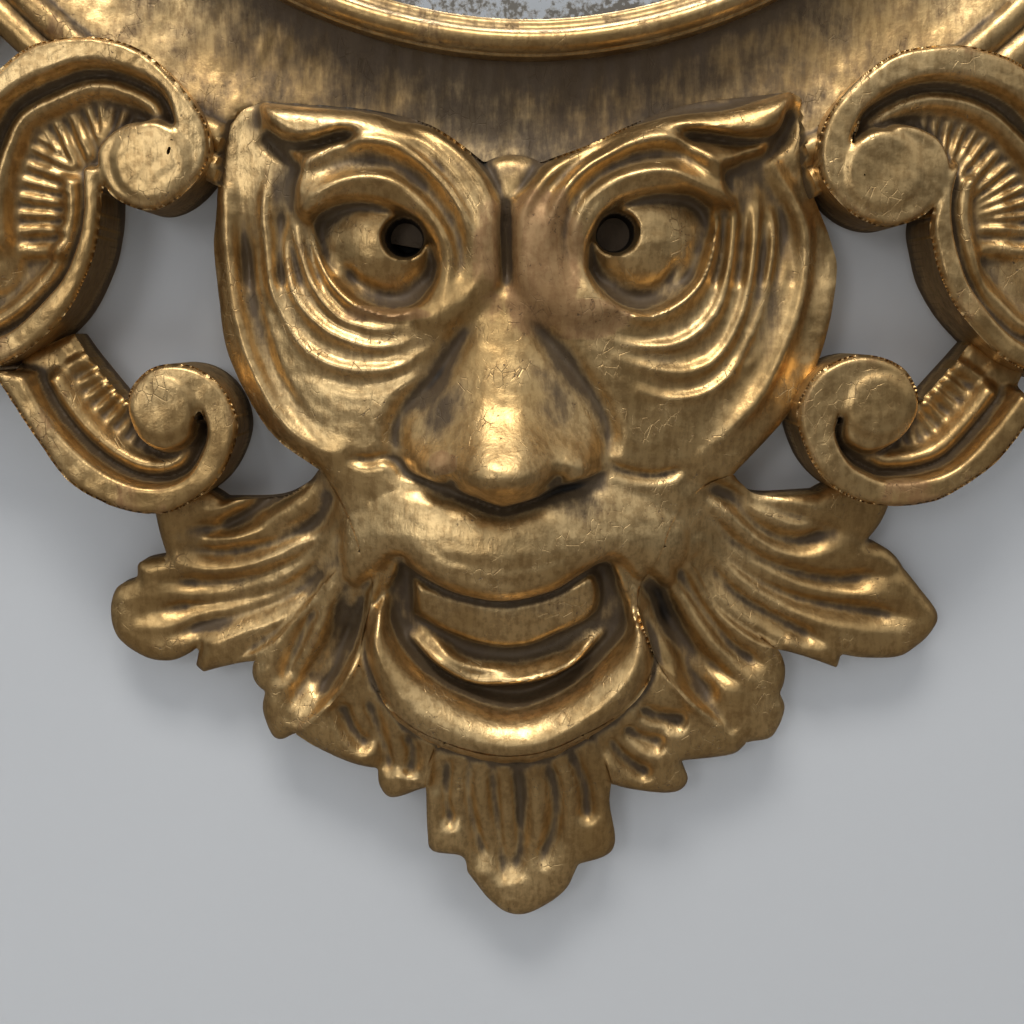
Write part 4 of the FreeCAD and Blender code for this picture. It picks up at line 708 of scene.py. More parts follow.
# A seam that two pieces share is drawn once.
(cheek_right, jaw_right, chin_right, chin_top, chin_left, jaw_left, cheek_left) = mask_saw[4:11]
beard_seam_left = [(-105.1, -420.9), (-88, -404), (-74, -386), (-62, -375)]
beard_seam_right = [(96.4, -416.6), (81, -404), (68, -388), (50, -373)]
jaw_seam_left = [(-90, -449.5), (-76, -437), (-64, -420)]
jaw_seam_right = [(85.5, -453.7), (64, -438), (49, -419)]
chin_seam_left = [(-39.4, -470.6), (-38, -460), (-30.7, -446.2)]
chin_seam_right = [(32.5, -469.5), (29, -458), (20, -443.5)]
leaf_saws = {
    "beard_leaf_left": [
        [(-77.5, -345.9), (-83, -351.7), (-94.6, -357.5), (-115.3, -358.3)],
        [(-115.3, -358.3), (-128, -352), (-142, -352)],
        [(-142, -352), (-141.4, -364.6), (-137.9, -380.3)],
        [(-137.9, -380.3), (-148.5, -382.9), (-150.3, -389.1), (-158, -392.9), (-161, -402), (-158.5, -412.5),
         (-148.5, -420.1), (-138.7, -421.7), (-130.5, -418.4), (-126.2, -414.6)],
        [(-126.2, -414.6), (-128.4, -423.2)],
        [(-128.4, -423.2), (-125.5, -426)],
        [(-125.5, -426), (-116.2, -423.2), (-105.1, -420.9)],
        beard_seam_left, cheek_left,
    ],
    "beard_leaf_right": [
        [(76.2, -347.8), (79.8, -351.7), (87.6, -356.3), (109.4, -355.5)],
        [(109.4, -355.5), (122, -350), (138, -349)],
        [(138, -349), (136.4, -362.4), (129, -374.1)],
        [(129, -374.1), (138.2, -378.3), (143.8, -384.8)],
        [(143.8, -384.8), (149.7, -391.8), (158.2, -403), (156.3, -410), (150.1, -416.6), (143, -420.5),
         (130.1, -420.5), (121.2, -418.9)],
        [(121.2, -418.9), (119.9, -424.4)],
        [(119.9, -424.4), (111.8, -421.3), (96.4, -416.6)],
        beard_seam_right, cheek_right[::-1],
    ],
    "jaw_leaf_left": [
        [(-105.1, -420.9), (-105.6, -428), (-101.2, -432.8)],
        [(-101.2, -432.8), (-102.6, -440.4), (-100.1, -449.2), (-96.3, -452.5), (-90, -449.5)],
        jaw_seam_left, jaw_left, beard_seam_left[::-1],
    ],
    "jaw_leaf_right": [
        [(96.4, -416.6), (99.6, -428.8), (97.8, -434)],
        [(97.8, -434), (99.9, -441), (95.2, -451.7), (85.5, -453.7)],
        jaw_seam_right, jaw_right[::-1], beard_seam_right[::-1],
    ],
    "chin_side_leaf_left": [
        [(-90, -449.5), (-79.2, -456.4), (-67.1, -461.6), (-58.1, -463.3)],
        [(-58.1, -463.3), (-57.5, -470.6), (-52.5, -475.5), (-39.4, -470.6)],
        chin_seam_left, chin_left, jaw_seam_left[::-1],
    ],
    "chin_side_leaf_right": [
        [(85.5, -453.7), (80.5, -458.4), (69.6, -460), (59.4, -460.4)],
        [(59.4, -460.4), (62.7, -468.2), (59.6, -473.1), (52.2, -473.9), (39.6, -471.8), (32.5, -469.5)],
        chin_seam_right, chin_right[::-1], jaw_seam_right[::-1],
    ],
    "chin_leaf": [
        chin_top[::-1], chin_seam_right[::-1],
        [(32.5, -469.5), (32.2, -478.4), (34.7, -494.1), (30.8, -500.7), (20.2, -504)],
        [(20.2, -504), (14.7, -515.3), (3.2, -523.7), (-5.6, -525.2), (-14.4, -519.5), (-23.5, -507.4)],
        [(-23.5, -507.4), (-25.8, -500.3), (-37.3, -498.2), (-39.2, -490.4), (-39.4, -470.6)],
        chin_seam_left,
    ],
}


def silhouette():
    """The free edge all round: the outer runs of the mask and of the leaves, one after another."""
    right, left = (leaf_saws["beard_leaf_" + side][:7] + leaf_saws["jaw_leaf_" + side][:2]
                   + leaf_saws["chin_side_leaf_" + side][:2] for side in ("right", "left"))
    chin = leaf_saws["chin_leaf"]
    return outline(mask_saw[:4] + right + chin[2:5] + backwards(left) + mask_saw[11:])


def bare_face(x, z):
    """Side view as a curve of z, less (x - middle)^2 / 760, of which under half counts at the top."""
    side = np.interp(z, [-535, -460, -425, -390, -350, -320, -290, -262, -235, -205],
                     [12, 17, 26, 33, 37, 38, 37, 33.5, 29, 26])
    across = np.abs(x - mask_middle)
    cheek = across**2 / 760 * (0.45 + 0.55 * ease((-225 - z) / 50))
    return side - cheek


carved = Carving((-170.0, -534.0), (168.0, -202.0), 0.75, bare_face)
mask_path = outline(mask_saw)
edge = silhouette()
beyond = -np.minimum(carved.inset(mask_path, 90.0), 0)
slope = 29.0 - 15.0 * np.clip(beyond / 88.0, 0, 1)**0.85
slope += 3.0 * ease((beyond - 45) / 40)
carved.h = blurred(np.where(beyond > 0, slope, carved.h), 5)
print("grid", carved.h.shape, "heights", round(float(carved.h.min()), 1), round(float(carved.h.max()), 1))


def drawn(pixels, height=stroke_height):
    return traced(pixels, height)


# %% [markdown]
# ### Brows, lids and eyes
# Each brow and upper lid is one thick curl that rolls in towards the nose. It stands well above
# the eye, so the eye lies in its shade. Numbers are pixels of the photograph.

# %% Brows and eyes
brow_curl_left = [(257, 99), (292, 102), (358, 107), (395, 116), (437, 126), (470, 148), (490, 173),
                  (503, 207),
                  (505, 250), (507, 281), (487, 306), (460, 330), (432, 338), (413, 330), (411, 311),
                  (427, 290),
                  (434, 270), (431, 248), (415, 224), (388, 209), (358, 203), (329, 209), (305, 218),
                  (295, 207),
                  (294, 187), (299, 166), (290, 156), (275, 142), (261, 126)]
brow_curl_right = [(797, 89), (729, 107), (689, 111), (648, 119), (607, 129), (576, 144), (542, 162),
                   (521, 187),
                   (508, 207), (508, 250), (509, 281), (522, 306), (545, 323), (575, 333), (605, 327),
                   (625, 309),
                   (607, 289), (593, 269), (590, 248), (599, 228), (615, 209), (636, 199), (664, 194),
                   (689, 196),
                   (712, 202), (735, 203), (730, 190), (727, 172), (745, 158), (770, 147), (790, 122)]
eye_well_left = [(431, 244), (415, 222), (388, 206), (358, 200), (329, 206), (311, 222), (318, 258),
                 (335, 284),
                 (358, 302), (388, 311), (413, 305), (430, 285), (436, 264)]
eye_well_right = [(590, 244), (599, 226), (615, 207), (636, 197), (664, 192), (700, 196), (716, 218),
                  (711, 250),
                  (698, 279), (678, 299), (648, 311), (622, 306), (603, 290), (590, 268)]
for curl in (brow_curl_left, brow_curl_right):
    carved.pad(smooth(drawn(curl), 5), lambda x, z: 37.5 + 2.5 * ease((-228 - z) / 30), 9.0, 1.6)
for well, ball, pupil in ((eye_well_left, (380, 244), (403, 237)), (eye_well_right, (648, 238), (617, 232))):
    (bx, bz), pupil_place = drawn([ball, pupil], 29.0)
    carved.sink(smooth(drawn(well), 5), lambda x, z: 30.5 - ((x - bx)**2 + (z - bz)**2) / 55, 1.5, 1.0)
    carved.dig(pupil_place, 6.4, 20.0)
    # Painted shade: the drilled pupils and a thin ring round them are painted near black.
    carved.paint_shade(ring_path(pupil_place, 7.4, 24), 3.0, 1.2)

# The upper lid rolls over as a torus: dish its face between two rounded rims.
lid_dish_left = [(303, 196), (312, 178), (337, 163), (368, 159), (399, 167), (426, 190), (447, 217),
                 (459, 245),
                 (458, 275), (445, 302)]
lid_dish_right = [(722, 186), (705, 170), (685, 157), (660, 153), (630, 159), (600, 176), (580, 200),
                  (568, 232),
                  (572, 268), (590, 296)]
for dish in (lid_dish_left, lid_dish_right):
    carved.gouge(drawn(dish), 7.0, 5.2, ends=(0.2, 0.1), power=1.1)
crests = [
    [(295, 205), (297, 182), (303, 166), (320, 152), (343, 144), (370, 142), (400, 149), (432, 172),
     (455, 199),
     (467, 228), (465, 262)],
    [(310, 206), (322, 193), (340, 183), (368, 177), (397, 183), (424, 205), (443, 232), (452, 260),
     (446, 286)],
    [(722, 204), (726, 190), (720, 172), (705, 155), (685, 143), (660, 139), (627, 146), (595, 162),
     (571, 184),
     (557, 208), (552, 238)],
    [(712, 196), (690, 180), (664, 170), (627, 175), (599, 189), (580, 209), (572, 240), (580, 268)],
]
for crest in crests:
    carved.ridge(drawn(crest), 3.2, 2.4, ends=(0.3, 0.2))
creases = [
    [(372, 120), (400, 124), (432, 141), (462, 170), (482, 200), (490, 232)],
    [(398, 137), (424, 152), (449, 178), (470, 208), (480, 238)],
    [(650, 128), (612, 140), (580, 158), (556, 178), (536, 205), (527, 238)],
    [(628, 141), (598, 152), (570, 172), (549, 198), (540, 228)],
    [(470, 150), (482, 162), (492, 180), (500, 205)],
    [(545, 166), (530, 180), (520, 197), (513, 215)],
]
for crease in creases:
    carved.gouge(drawn(crease), 3.4, 2.8, ends=(0.1, 0.1))
carved.gouge(drawn([(506, 205), (506, 240), (507, 284)]), 4.5, 7.0, ends=(0.5, 0.8))
# Undercut of each brow's free end, where it stands over the temple.
for run, left in (([(262, 122), (284, 137), (311, 138), (337, 131), (360, 130)], False),
                  ([(792, 104), (780, 128), (746, 135), (709, 131), (672, 128)], True)):
    carved.terrace(drawn(run), 12.0, fade=9.0, width=1.6, left=left, ends=(0.6, 0.1))

# %% [markdown]
# ### Wrinkles and cheeks
# Round the eyes the skin lies in rings. Each ring is a ridge with a V groove below it, cut with
# one sweep of the gouge; the outermost runs down the edge of the face.

# %% Wrinkles
lower_lids = [
    [(322, 262), (335, 283), (358, 303), (388, 312), (412, 306)],
    [(617, 300), (632, 313), (652, 315), (680, 302), (702, 279), (714, 248), (716, 216)],
]
for lid in lower_lids:
    carved.ridge(drawn(lid), 5.0, 4.5, ends=(0.4, 0.4))
eye_folds = [
    [(345, 262), (352, 277), (368, 289), (388, 296), (405, 296)],
    [(620, 288), (634, 294), (655, 290), (672, 274), (680, 256)],
]
for fold in eye_folds:
    carved.gouge(drawn(fold, 26.0), 2.8, 3.4)
ring_crests = [
    [(290, 216), (297, 250), (311, 285), (335, 315), (364, 327), (390, 330), (414, 322)],
    [(275, 228), (283, 272), (297, 302), (323, 327), (356, 342), (384, 346), (414, 337)],
    [(262, 250), (268, 288), (282, 314), (301, 346), (320, 360), (345, 369), (378, 371), (408, 368),
     (430, 356)],
    [(264, 171), (258, 205), (264, 262), (272, 298)],
    [(610, 339), (648, 347), (686, 341), (716, 316), (730, 279), (738, 228), (739, 167)],
    [(617, 357), (655, 369), (689, 373), (722, 357), (744, 322), (756, 280), (762, 230), (760, 180)],
    [(640, 390), (678, 398), (716, 388), (746, 358), (770, 310), (782, 260), (784, 200)],
    [(803, 240), (797, 270), (785, 320), (768, 352), (740, 390)],
]
for crest in ring_crests:
    carved.ridge(drawn(crest), 3.4, 2.3, ends=(0.2, 0.2))
ring_grooves = [
    [(299, 218), (306, 252), (320, 284), (345, 312), (372, 320), (398, 321)],
    [(283, 220), (290, 262), (305, 296), (330, 322), (360, 335), (388, 338), (414, 329)],
    [(272, 250), (278, 290), (292, 322), (318, 346), (352, 357), (384, 358), (415, 350)],
    [(275, 200), (274, 235), (277, 290)],
    [(309, 372), (338, 382), (368, 384), (408, 372), (444, 350)],
    [(237, 228), (241, 279), (252, 325), (268, 370), (284, 392)],
    [(607, 330), (645, 337), (680, 330), (706, 306), (721, 272), (728, 226), (728, 196)],
    [(620, 349), (652, 358), (686, 358), (716, 342), (735, 308), (746, 262), (750, 200)],
    [(627, 372), (664, 388), (700, 386), (730, 362), (754, 318), (768, 268), (773, 200)],
    [(789, 200), (789, 240), (778, 292), (760, 340), (735, 380)],
]
for groove in ring_grooves:
    carved.gouge(drawn(groove), 3.4, 4.0, ends=(0.1, 0.1))
# A raised rim along the edge of the face, and the groove inside it.
for rim_line, groove in (([(222, 190), (223, 228), (228, 279), (238, 330), (249, 362), (276, 412), (308, 443),
                           (340, 455)],
                          [(240, 200), (239, 240), (243, 285), (256, 332), (270, 372), (296, 412),
                           (325, 436)]),
                         ([(776, 165), (806, 215), (812, 255), (803, 305), (786, 350), (764, 392), (735, 425),
                           (702, 455)],
                          [(760, 170), (789, 218), (795, 255), (787, 300), (768, 345), (746, 382),
                           (718, 412)])):
    carved.ridge(drawn(rim_line, 30.0), 5.0, 3.6, ends=(0.4, 0.4))
    carved.gouge(drawn(groove, 30.0), 5.0, 3.2, ends=(0.2, 0.2))

# %% [markdown]
# ### Nose
# A ridge widens down the face and ends in a round tip between two wings. Hills are added for the
# tip and the wings, folds are taken off beside them, and the higher of nose and face counts.

# %% Nose
nose_middle = -9.0
nose_z = [-276.0, -290.0, -305.0, -318.0, -324.0, -337.0, -344.0, -350.0, -357.0]
ridge_top = [33.0, 37.5, 42.0, 46.5, 49.0, 59.5, 61.5, 58.5, 49.0]
ridge_half = [5.0, 13.0, 21.0, 28.0, 31.5, 37.0, 39.0, 39.0, 37.0]


def swelling(x, z, centre, radii):
    """A soft hill: exp(-across^2 - along^2)."""
    return np.exp(-((x - centre[0]) / radii[0])**2 - ((z - centre[1]) / radii[1])**2)


def nose_form(x, z, ground):
    """A ridge, min(1, (1 - out) / 0.78)^1.15 across, a hill for the tip, and hill and fold for each wing."""
    top, half = (np.interp(-z, -np.array(nose_z), values) for values in (ridge_top, ridge_half))
    out = np.clip(np.abs(x - nose_middle) / half, 0, 1)
    form = blurred(ground + (top - ground) * np.clip((1 - out) / 0.78, 0, 1)**1.15, 4)
    form += 5.0 * swelling(x, z, (nose_middle, -346.0), (15.0, 8.0))
    for side in (-1, 1):
        form += 5.0 * swelling(x, z, (nose_middle + side * 27.0, -343.0), (7.5, 8.0))
        form -= 4.5 * swelling(x, z, (nose_middle + side * 19.0, -350.0), (3.5, 8.0))
    return form


underside = np.interp(np.abs(carved.x - nose_middle), [0, 12, 22, 36], [-358.5, -355.0, -350.5, -346.5])
along = ease((-275.0 - carved.z) / 6.0) * ease((carved.z - underside) / 2.0)
nosed = nose_form(carved.x, carved.z, carved.h)
carved.h += along * np.maximum(nosed - carved.h, 0)
for crease in ([(480, 312), (460, 340), (432, 382), (402, 412), (393, 440), (402, 470)],
               [(520, 312), (548, 340), (578, 376), (602, 412), (609, 442), (602, 468)]):
    carved.gouge(drawn(crease, 40.0), 6.5, 5.0, ends=(0.1, 0.6), power=1.2)
for nostril in ([(440, 482), (462, 491), (486, 502)], [(533, 493), (550, 487), (566, 478)]):
    carved.gouge(drawn(nostril, 50.0), 4.0, 7.0, ends=(0.3, 0.3))

# %% [markdown]
# ### Muzzle, mouth and lower lip
# The upper lip swells like a cushion between the cheeks and overhangs the mouth. Inside are two
# lumpy ridges, then a deep hollow, then the lower lip as a broad polished roll.

# %% Muzzle and mouth
muzzle = [(387, 459), (405, 470), (440, 484), (472, 497), (505, 506), (548, 487), (590, 474), (611, 463),
          (650, 478), (690, 476), (706, 520), (700, 560), (672, 600), (640, 588), (622, 568), (607, 563),
          (583, 574), (552, 592), (505, 602), (458, 595), (427, 581), (401, 562), (385, 568), (368, 590),
          (345, 600), (325, 560), (322, 500), (345, 462)]
carved.pad(smooth(drawn(muzzle), 5), lambda x, z: 46.5 - (x - mask_middle)**2 / 260 - ((z + 381) / 12.5)**2,
           11.0, 3.0)
mouth = [(399, 566), (427, 584), (458, 598), (505, 605), (552, 595), (583, 577), (609, 566), (622, 590),
         (630, 636), (588, 683), (552, 706), (517, 716), (482, 711), (439, 690), (406, 664), (386, 632),
         (383, 598)]
carved.sink(smooth(drawn(mouth), 5), 19.5, 6.0, 1.4)
upper_plate = [(415, 580), (458, 596), (505, 603), (552, 593), (590, 574), (594, 612), (552, 637), (519, 649),
               (482, 646), (446, 632), (416, 613)]
carved.pad(smooth(drawn(upper_plate, 26.0), 5), lambda x, z: 27.0 + (z + 402) / 6, 3.0, 1.4)
# Painted shade: the inside of the mouth is painted darker.
carved.paint_shade(smooth(drawn(mouth), 5), 0.22, 6.0)
for row, width, lift in (([(424, 634), (458, 661), (493, 669), (529, 668), (566, 655), (588, 636)], 4.6, 7.5),
                         ([(411, 637), (434, 658), (467, 677), (505, 679), (548, 672), (578, 655),
                           (600, 634)], 3.4, 8.5)):
    carved.ridge(drawn(row, 22.0), width, lift, ends=(0.3, 0.3))
lower_lip = [(381, 606), (387, 632), (406, 663), (439, 690), (482, 711), (517, 716), (552, 706), (588, 683),
             (629, 640), (632, 612), (650, 640), (654, 676), (632, 712), (595, 740), (555, 762), (515, 769),
             (481, 766), (430, 748), (392, 722), (370, 678), (362, 640), (370, 612)]
carved.pad(smooth(drawn(lower_lip), 5), lambda x, z: 43.5 - ((x - mask_middle) / 22)**2 * 0.35, 14.5, 1.0)
for line, width, depth in (
        ([(446, 566), (478, 575), (505, 578), (532, 575), (556, 566)], 3.0, 1.2),
        ([(431, 548), (470, 562), (505, 565), (545, 560), (575, 546)], 4.0, 0.8),
        ([(340, 458), (365, 461), (388, 459), (412, 474), (441, 485)], 3.2, 4.0),
        ([(604, 462), (624, 472), (658, 477), (692, 469)], 3.2, 4.0),
        ([(394, 636), (418, 664), (453, 688), (491, 704), (529, 704), (566, 686), (610, 652)], 3.6, 3.0)):
    carved.gouge(drawn(line), width, depth, ends=(0.2, 0.2))
for side_fold in ([(401, 560), (384, 578), (374, 612), (354, 662), (340, 684)],
                  [(612, 560), (630, 584), (636, 612), (654, 652), (684, 697)]):
    carved.gouge(drawn(side_fold), 4.5, 4.5, ends=(0.5, 0.1))
print("face carved to", round(float(carved.h.max()), 1), "mm")

# %% [markdown]
# ### Leaves
# The beard spreads in overlapping leaves. A terrace marks where one leaf lies over the next,
# and flutes run from the cheek towards each lobe.

# %% Leaves
terraces = [
    ([(325, 580), (300, 612), (274, 639), (249, 657), (230, 668)], 5.0, False),
    ([(365, 600), (351, 660), (325, 704), (294, 733)], 5.0, False),
    ([(690, 560), (720, 612), (760, 642), (790, 652)], 5.0, True),
    ([(640, 610), (662, 668), (696, 702), (735, 738)], 4.0, True),
    ([(434, 738), (432, 770), (430, 800)], 3.0, True),
    ([(588, 728), (604, 752), (610, 800)], 3.0, False),
]
# Painted shadow: the roots of the beard leaves below the face are pressed lower and painted dark.
shadowed_roots = [
    [(212, 520), (235, 500), (275, 480), (318, 462), (342, 480), (338, 520), (310, 545), (255, 545),
     (215, 541)],
    [(700, 470), (745, 480), (790, 500), (830, 520), (845, 535), (800, 532), (755, 520), (712, 500)],
]
for shade in shadowed_roots:
    root_path = smooth(drawn(shade + shade[:1], leaf_height), 4)
    carved.press(root_path, 3.5, 7.0)
    carved.paint_shade(root_path, 0.35, 8.0)
# Long hollows beside the mouth, and the folds that border them.
for channel, width, depth in (([(380, 560), (356, 612), (330, 660), (296, 706)], 10.0, 6.5),
                              ([(636, 560), (664, 612), (696, 662), (722, 700)], 9.0, 5.0)):
    carved.gouge(drawn(channel, leaf_height), width, depth, ends=(0.2, 0.1), power=1.1)
for fold in ([(388, 566), (374, 590), (366, 622), (352, 663), (326, 704), (296, 732)],
             [(612, 562), (632, 590), (638, 618), (656, 655), (690, 702), (722, 730)]):
    carved.ridge(drawn(fold, 28.0), 3.6, 3.6, ends=(0.5, 0.3))
for points, drop, left in terraces:
    carved.terrace(drawn(points, leaf_height), drop, fade=12.0, left=left, ends=(0.4, 0.4))
leaf_flutes = [
    [(330, 500), (305, 530), (260, 548), (216, 556), (170, 548)],
    [(335, 520), (300, 558), (255, 580), (205, 588), (150, 582)],
    [(338, 540), (305, 575), (262, 596), (205, 608), (138, 616)],
    [(335, 562), (300, 592), (262, 612), (205, 628), (160, 640)],
    [(300, 470), (262, 505), (215, 530), (175, 532)],
    [(345, 590), (330, 640), (305, 680), (285, 715)],
    [(352, 620), (335, 668), (312, 702)],
    [(318, 600), (298, 645), (280, 690)],
    [(690, 480), (730, 500), (762, 530), (800, 543), (850, 528)],
    [(700, 505), (735, 543), (780, 570), (840, 584), (900, 575)],
    [(700, 530), (742, 570), (795, 600), (860, 614), (925, 622)],
    [(700, 555), (740, 598), (790, 628), (835, 650)],
    [(640, 560), (672, 612), (700, 655), (745, 690)],
    [(672, 560), (700, 606), (735, 650), (772, 672)],
    [(655, 600), (690, 670), (722, 708)],
    [(365, 690), (375, 722), (385, 752), (392, 780)],
    [(340, 700), (352, 730), (372, 752)],
    [(405, 730), (412, 752), (408, 778)],
    [(621, 724), (640, 738), (668, 744)],
    [(637, 705), (655, 716), (690, 722)],
    [(605, 735), (628, 762), (655, 780)],
    [(470, 752), (468, 800), (480, 850), (492, 878)],
    [(492, 756), (494, 800), (500, 850), (504, 895)],
    [(516, 756), (520, 800), (520, 850), (515, 890)],
    [(545, 752), (556, 800), (552, 840), (535, 876)],
    [(568, 745), (585, 790), (588, 830)],
    [(448, 755), (446, 800), (452, 835)],
]
for flute in leaf_flutes:
    carved.gouge(drawn(flute, 22.0), 6.6, 6.6, ends=(0.4, 0.1), power=1.3)
# Soft dark patches, partly grime and partly painted shade: the brow tops under the ring and the sides of the
# nose.
grime_and_shade_spots = [
    ((575, 500), (36, 26), 0.45), ((300, 505), (34, 18), 0.35), ((330, 600), (16, 40), 0.45), ((668, 620),
                                                                                               (18, 40),
    0.35),
    ((170, 545), (20, 10), 0.4), ((852, 548), (26, 10), 0.35), ((196, 640), (26, 8), 0.5), ((250, 240),
                                                                                            (12, 60), 0.3),
    ((440, 392), (24, 40), 0.65), ((560, 380), (24, 44), 0.55), ((505, 165), (60, 14), 0.5), ((520, 800),
                                                                                              (18, 60), 0.35),
    ((775, 300), (14, 80), 0.3), ((490, 535), (50, 10), 0.2), ((345, 112), (95, 16), 0.5), ((700, 108),
                                                                                            (90, 14), 0.35),
    ((400, 180), (30, 12), 0.2), ((760, 180), (20, 30), 0.35), ((285, 180), (26, 30), 0.35),
]
for centre, radii, amount in grime_and_shade_spots:
    carved.stain(drawn([centre])[0], np.array(radii) * 0.42, 1.5 * amount, darkening=True)
carved.roll(edge, 7.0, 5.0)
carved.finish(rub=1, unevenness=0.3, seed=11)
for centre, radii, strength in (((540, 262), (14, 26), 1.0), ((575, 320), (18, 7), 0.9), ((490, 262), (6, 22),
                                                                                          0.6),
                                ((445, 458), (5, 4), 1.0), ((506, 230), (6, 12), 0.7),
                                ((380, 314), (18, 3), 0.8)):
    carved.stain(drawn([centre])[0], radii, strength)
print("leaves fluted")

# %% Saw out the mask and the leaves
mask = fitted(cut_out(carved, "carved_mask", [mask_path], carving_back),
              "mask_face", carved_gold)
for name, saw in leaf_saws.items():
    fitted(cut_out(carved, "carved_" + name, [outline(saw)], carving_back),
           name, carved_gold)
print("mask", len(mask.data.polygons), "faces")


# %% [markdown]
# ## C-scrolls
# Each side has two scrolls that meet the mask: flat bands that wind up into a round eye, with
# a hollow between them that is filled with short ribs. Bands are pads with a narrow rounding;
# ribs are a wave along the band's inner edge.

# %% Outlines of the scrolls
# Upper scrolls: band with its volute and eye, from the far end to the slot and back.
upper_band_left = [
    [(-206, -268), (-207, -247), (-199, -222), (-183.1, -204.2), (-168.8, -195.6), (-148.7, -194.3),
     (-131, -201.2), (-114.4, -220.7), (-113.1, -235.9), (-122.3, -247.9), (-134.8, -253), (-146.9, -247.9),
     (-151.9, -237), (-149.6, -229.1), (-139.5, -222.7), (-132, -226.8), (-127.5, -234)],
    [(-127.5, -234), (-125.7, -234.9)],
    [(-125.7, -234.9), (-124, -227), (-126.4, -215.6), (-132.7, -208.9), (-145, -203.9), (-155, -203.2),
     (-165.9, -206.2), (-183.8, -215.6), (-193, -232), (-197, -250), (-197, -270)],
]
upper_band_right = [
    [(203, -268), (203, -245), (193, -220), (171.8, -203.9), (156.3, -197.9), (141, -196.9), (123.5, -201.6),
     (105.1, -219.7), (102.3, -239.3), (113.4, -253.7), (128, -258.6), (141.5, -253), (148.3, -240),
     (143.9, -228.4), (131.4, -223.4), (123, -228), (120, -240)],
    [(120, -240), (121.1, -245.1)],
    [(121.1, -245.1), (115.6, -239.3), (112.9, -230.8), (116.3, -220.7), (122.7, -214.3), (134.3, -208.9),
     (146.7, -207.6), (160.4, -210.6), (172.6, -217.6), (187, -233), (193.5, -250), (193.5, -270)],
]
# Lower C of the upper scrolls, with the small volute at its far end.
upper_hook_left = [
    [(-150.5, -238), (-151.1, -247.2), (-152.3, -258.9), (-156.6, -273.8), (-167.7, -292), (-188.9, -307.2),
     (-212, -311), (-228, -303), (-232, -289), (-224, -278), (-213, -280), (-210, -289)],
    [(-210, -289), (-213, -292)],
    [(-213, -292), (-206, -299), (-188.3, -296.6), (-169.7, -280.8), (-162, -268.6), (-157.8, -254.7),
     (-157.2, -238)],
]
upper_hook_right = [
    [(147.5, -240), (142.5, -255.8), (144, -267), (148.4, -280.1), (159.5, -295.2), (177.5, -309),
     (205, -314), (224, -305), (229, -290), (221, -279), (210, -281), (207, -290)],
    [(207, -290), (210, -293)],
    [(210, -293), (200, -302), (177.2, -299.4), (158.7, -280.8), (151.5, -263.4), (149.6, -249.6),
     (152, -236)],
]
# Coves that the ribs lie in.
upper_cove_left = [
    [(-127, -235), (-124.5, -226), (-126, -214), (-145, -201), (-168, -203), (-188, -218), (-200, -245),
     (-201, -270)],
    [(-201, -270), (-206, -296), (-188, -302), (-163, -281), (-154, -255), (-148, -240)],
]
upper_cove_right = [
    [(121, -245), (114.5, -236), (115, -226), (119, -216), (134, -206), (158, -206), (180, -220), (197, -245),
     (198, -270)],
    [(198, -270), (203, -298), (180, -305), (153, -281), (146, -258), (147, -242)],
]
# Lower scrolls: band and volute.
lower_band_left = [
    [(-193, -309), (-189.4, -315.5), (-178.4, -333.1), (-167.7, -348.7), (-152.5, -358.2), (-138.4, -361.5),
     (-126.3, -358.9), (-112.5, -348), (-105.5, -331), (-109.7, -316.2), (-121, -307.8), (-135.3, -308.3),
     (-144.6, -319), (-142, -332.5), (-132.8, -338.5), (-123, -334), (-120.1, -325.1)],
    [(-120.1, -325.1), (-118.6, -323)],
    [(-118.6, -323), (-116.7, -330.5), (-118.4, -337.8), (-124.1, -346.9), (-133.3, -350.9), (-144.2, -350.1),
     (-154.8, -345), (-165.2, -336), (-173.7, -325.1), (-181, -311)],
]
lower_band_right = [
    [(185, -321), (178.9, -330.2), (168.8, -343.2), (152.7, -354.5), (142.7, -357.8), (132.5, -358.6),
     (120.8, -356.7), (109.7, -350.5), (101.4, -339.6), (97.2, -323.7), (104, -310), (118.8, -303.6),
     (134, -308), (141, -321), (136, -333), (125, -338.5), (115.5, -335), (113.4, -326)],
    [(113.4, -326), (112.2, -324.8)],
    [(112.2, -324.8), (111.6, -333), (116.6, -342.1), (124.1, -346.9), (131.4, -349), (144, -347.9),
     (155.4, -343.2), (166.7, -331.3), (177, -317)],
]
lower_cove_left = [
    [(-188, -305), (-178, -325), (-160, -345), (-138, -354), (-120, -345), (-115, -330)],
    [(-115, -330), (-149.8, -319.9)],
    [(-149.8, -319.9), (-153, -316.2), (-162.5, -304), (-168, -296)],
]
lower_cove_right = [
    [(184, -309), (175, -325), (158, -345), (138, -352), (118, -345), (111, -330)],
    [(111, -330), (146, -320)],
    [(146, -320), (152, -313), (159, -305), (164, -299)],
]

# %% Carve the scrolls


def ribs(block, points, pitch, strip, lift, left=True):
    """Short ridges beside a curve: lift * (|sin(pi * count * share)|^0.8 - 0.5), faded at both edges."""
    path = smooth(points)
    length = np.hypot(*(path[1:] - path[:-1]).T).sum()
    gap, share, side = block.near(path, strip[1] + 1)
    wave = np.abs(np.sin(math.pi * round(length / pitch) * share))**0.8 - 0.5
    faded = lift * wave * ease((gap - strip[0]) / 2.5) * ease((strip[1] - gap) / 4)
    block.h += faded * (side == (1 if left else -1))


def bead(block, points, away, width, lift, left=True):
    """Rounded moulding that runs beside a curve at a steady distance."""
    gap, share, side = block.near(smooth(points), away + width + 1)
    strip = np.clip(1 - ((gap - away) / width)**2, 0, 1)**1.5
    block.h += lift * strip * (side == (1 if left else -1)) * ease(share / 0.06) * ease((1 - share) / 0.06)


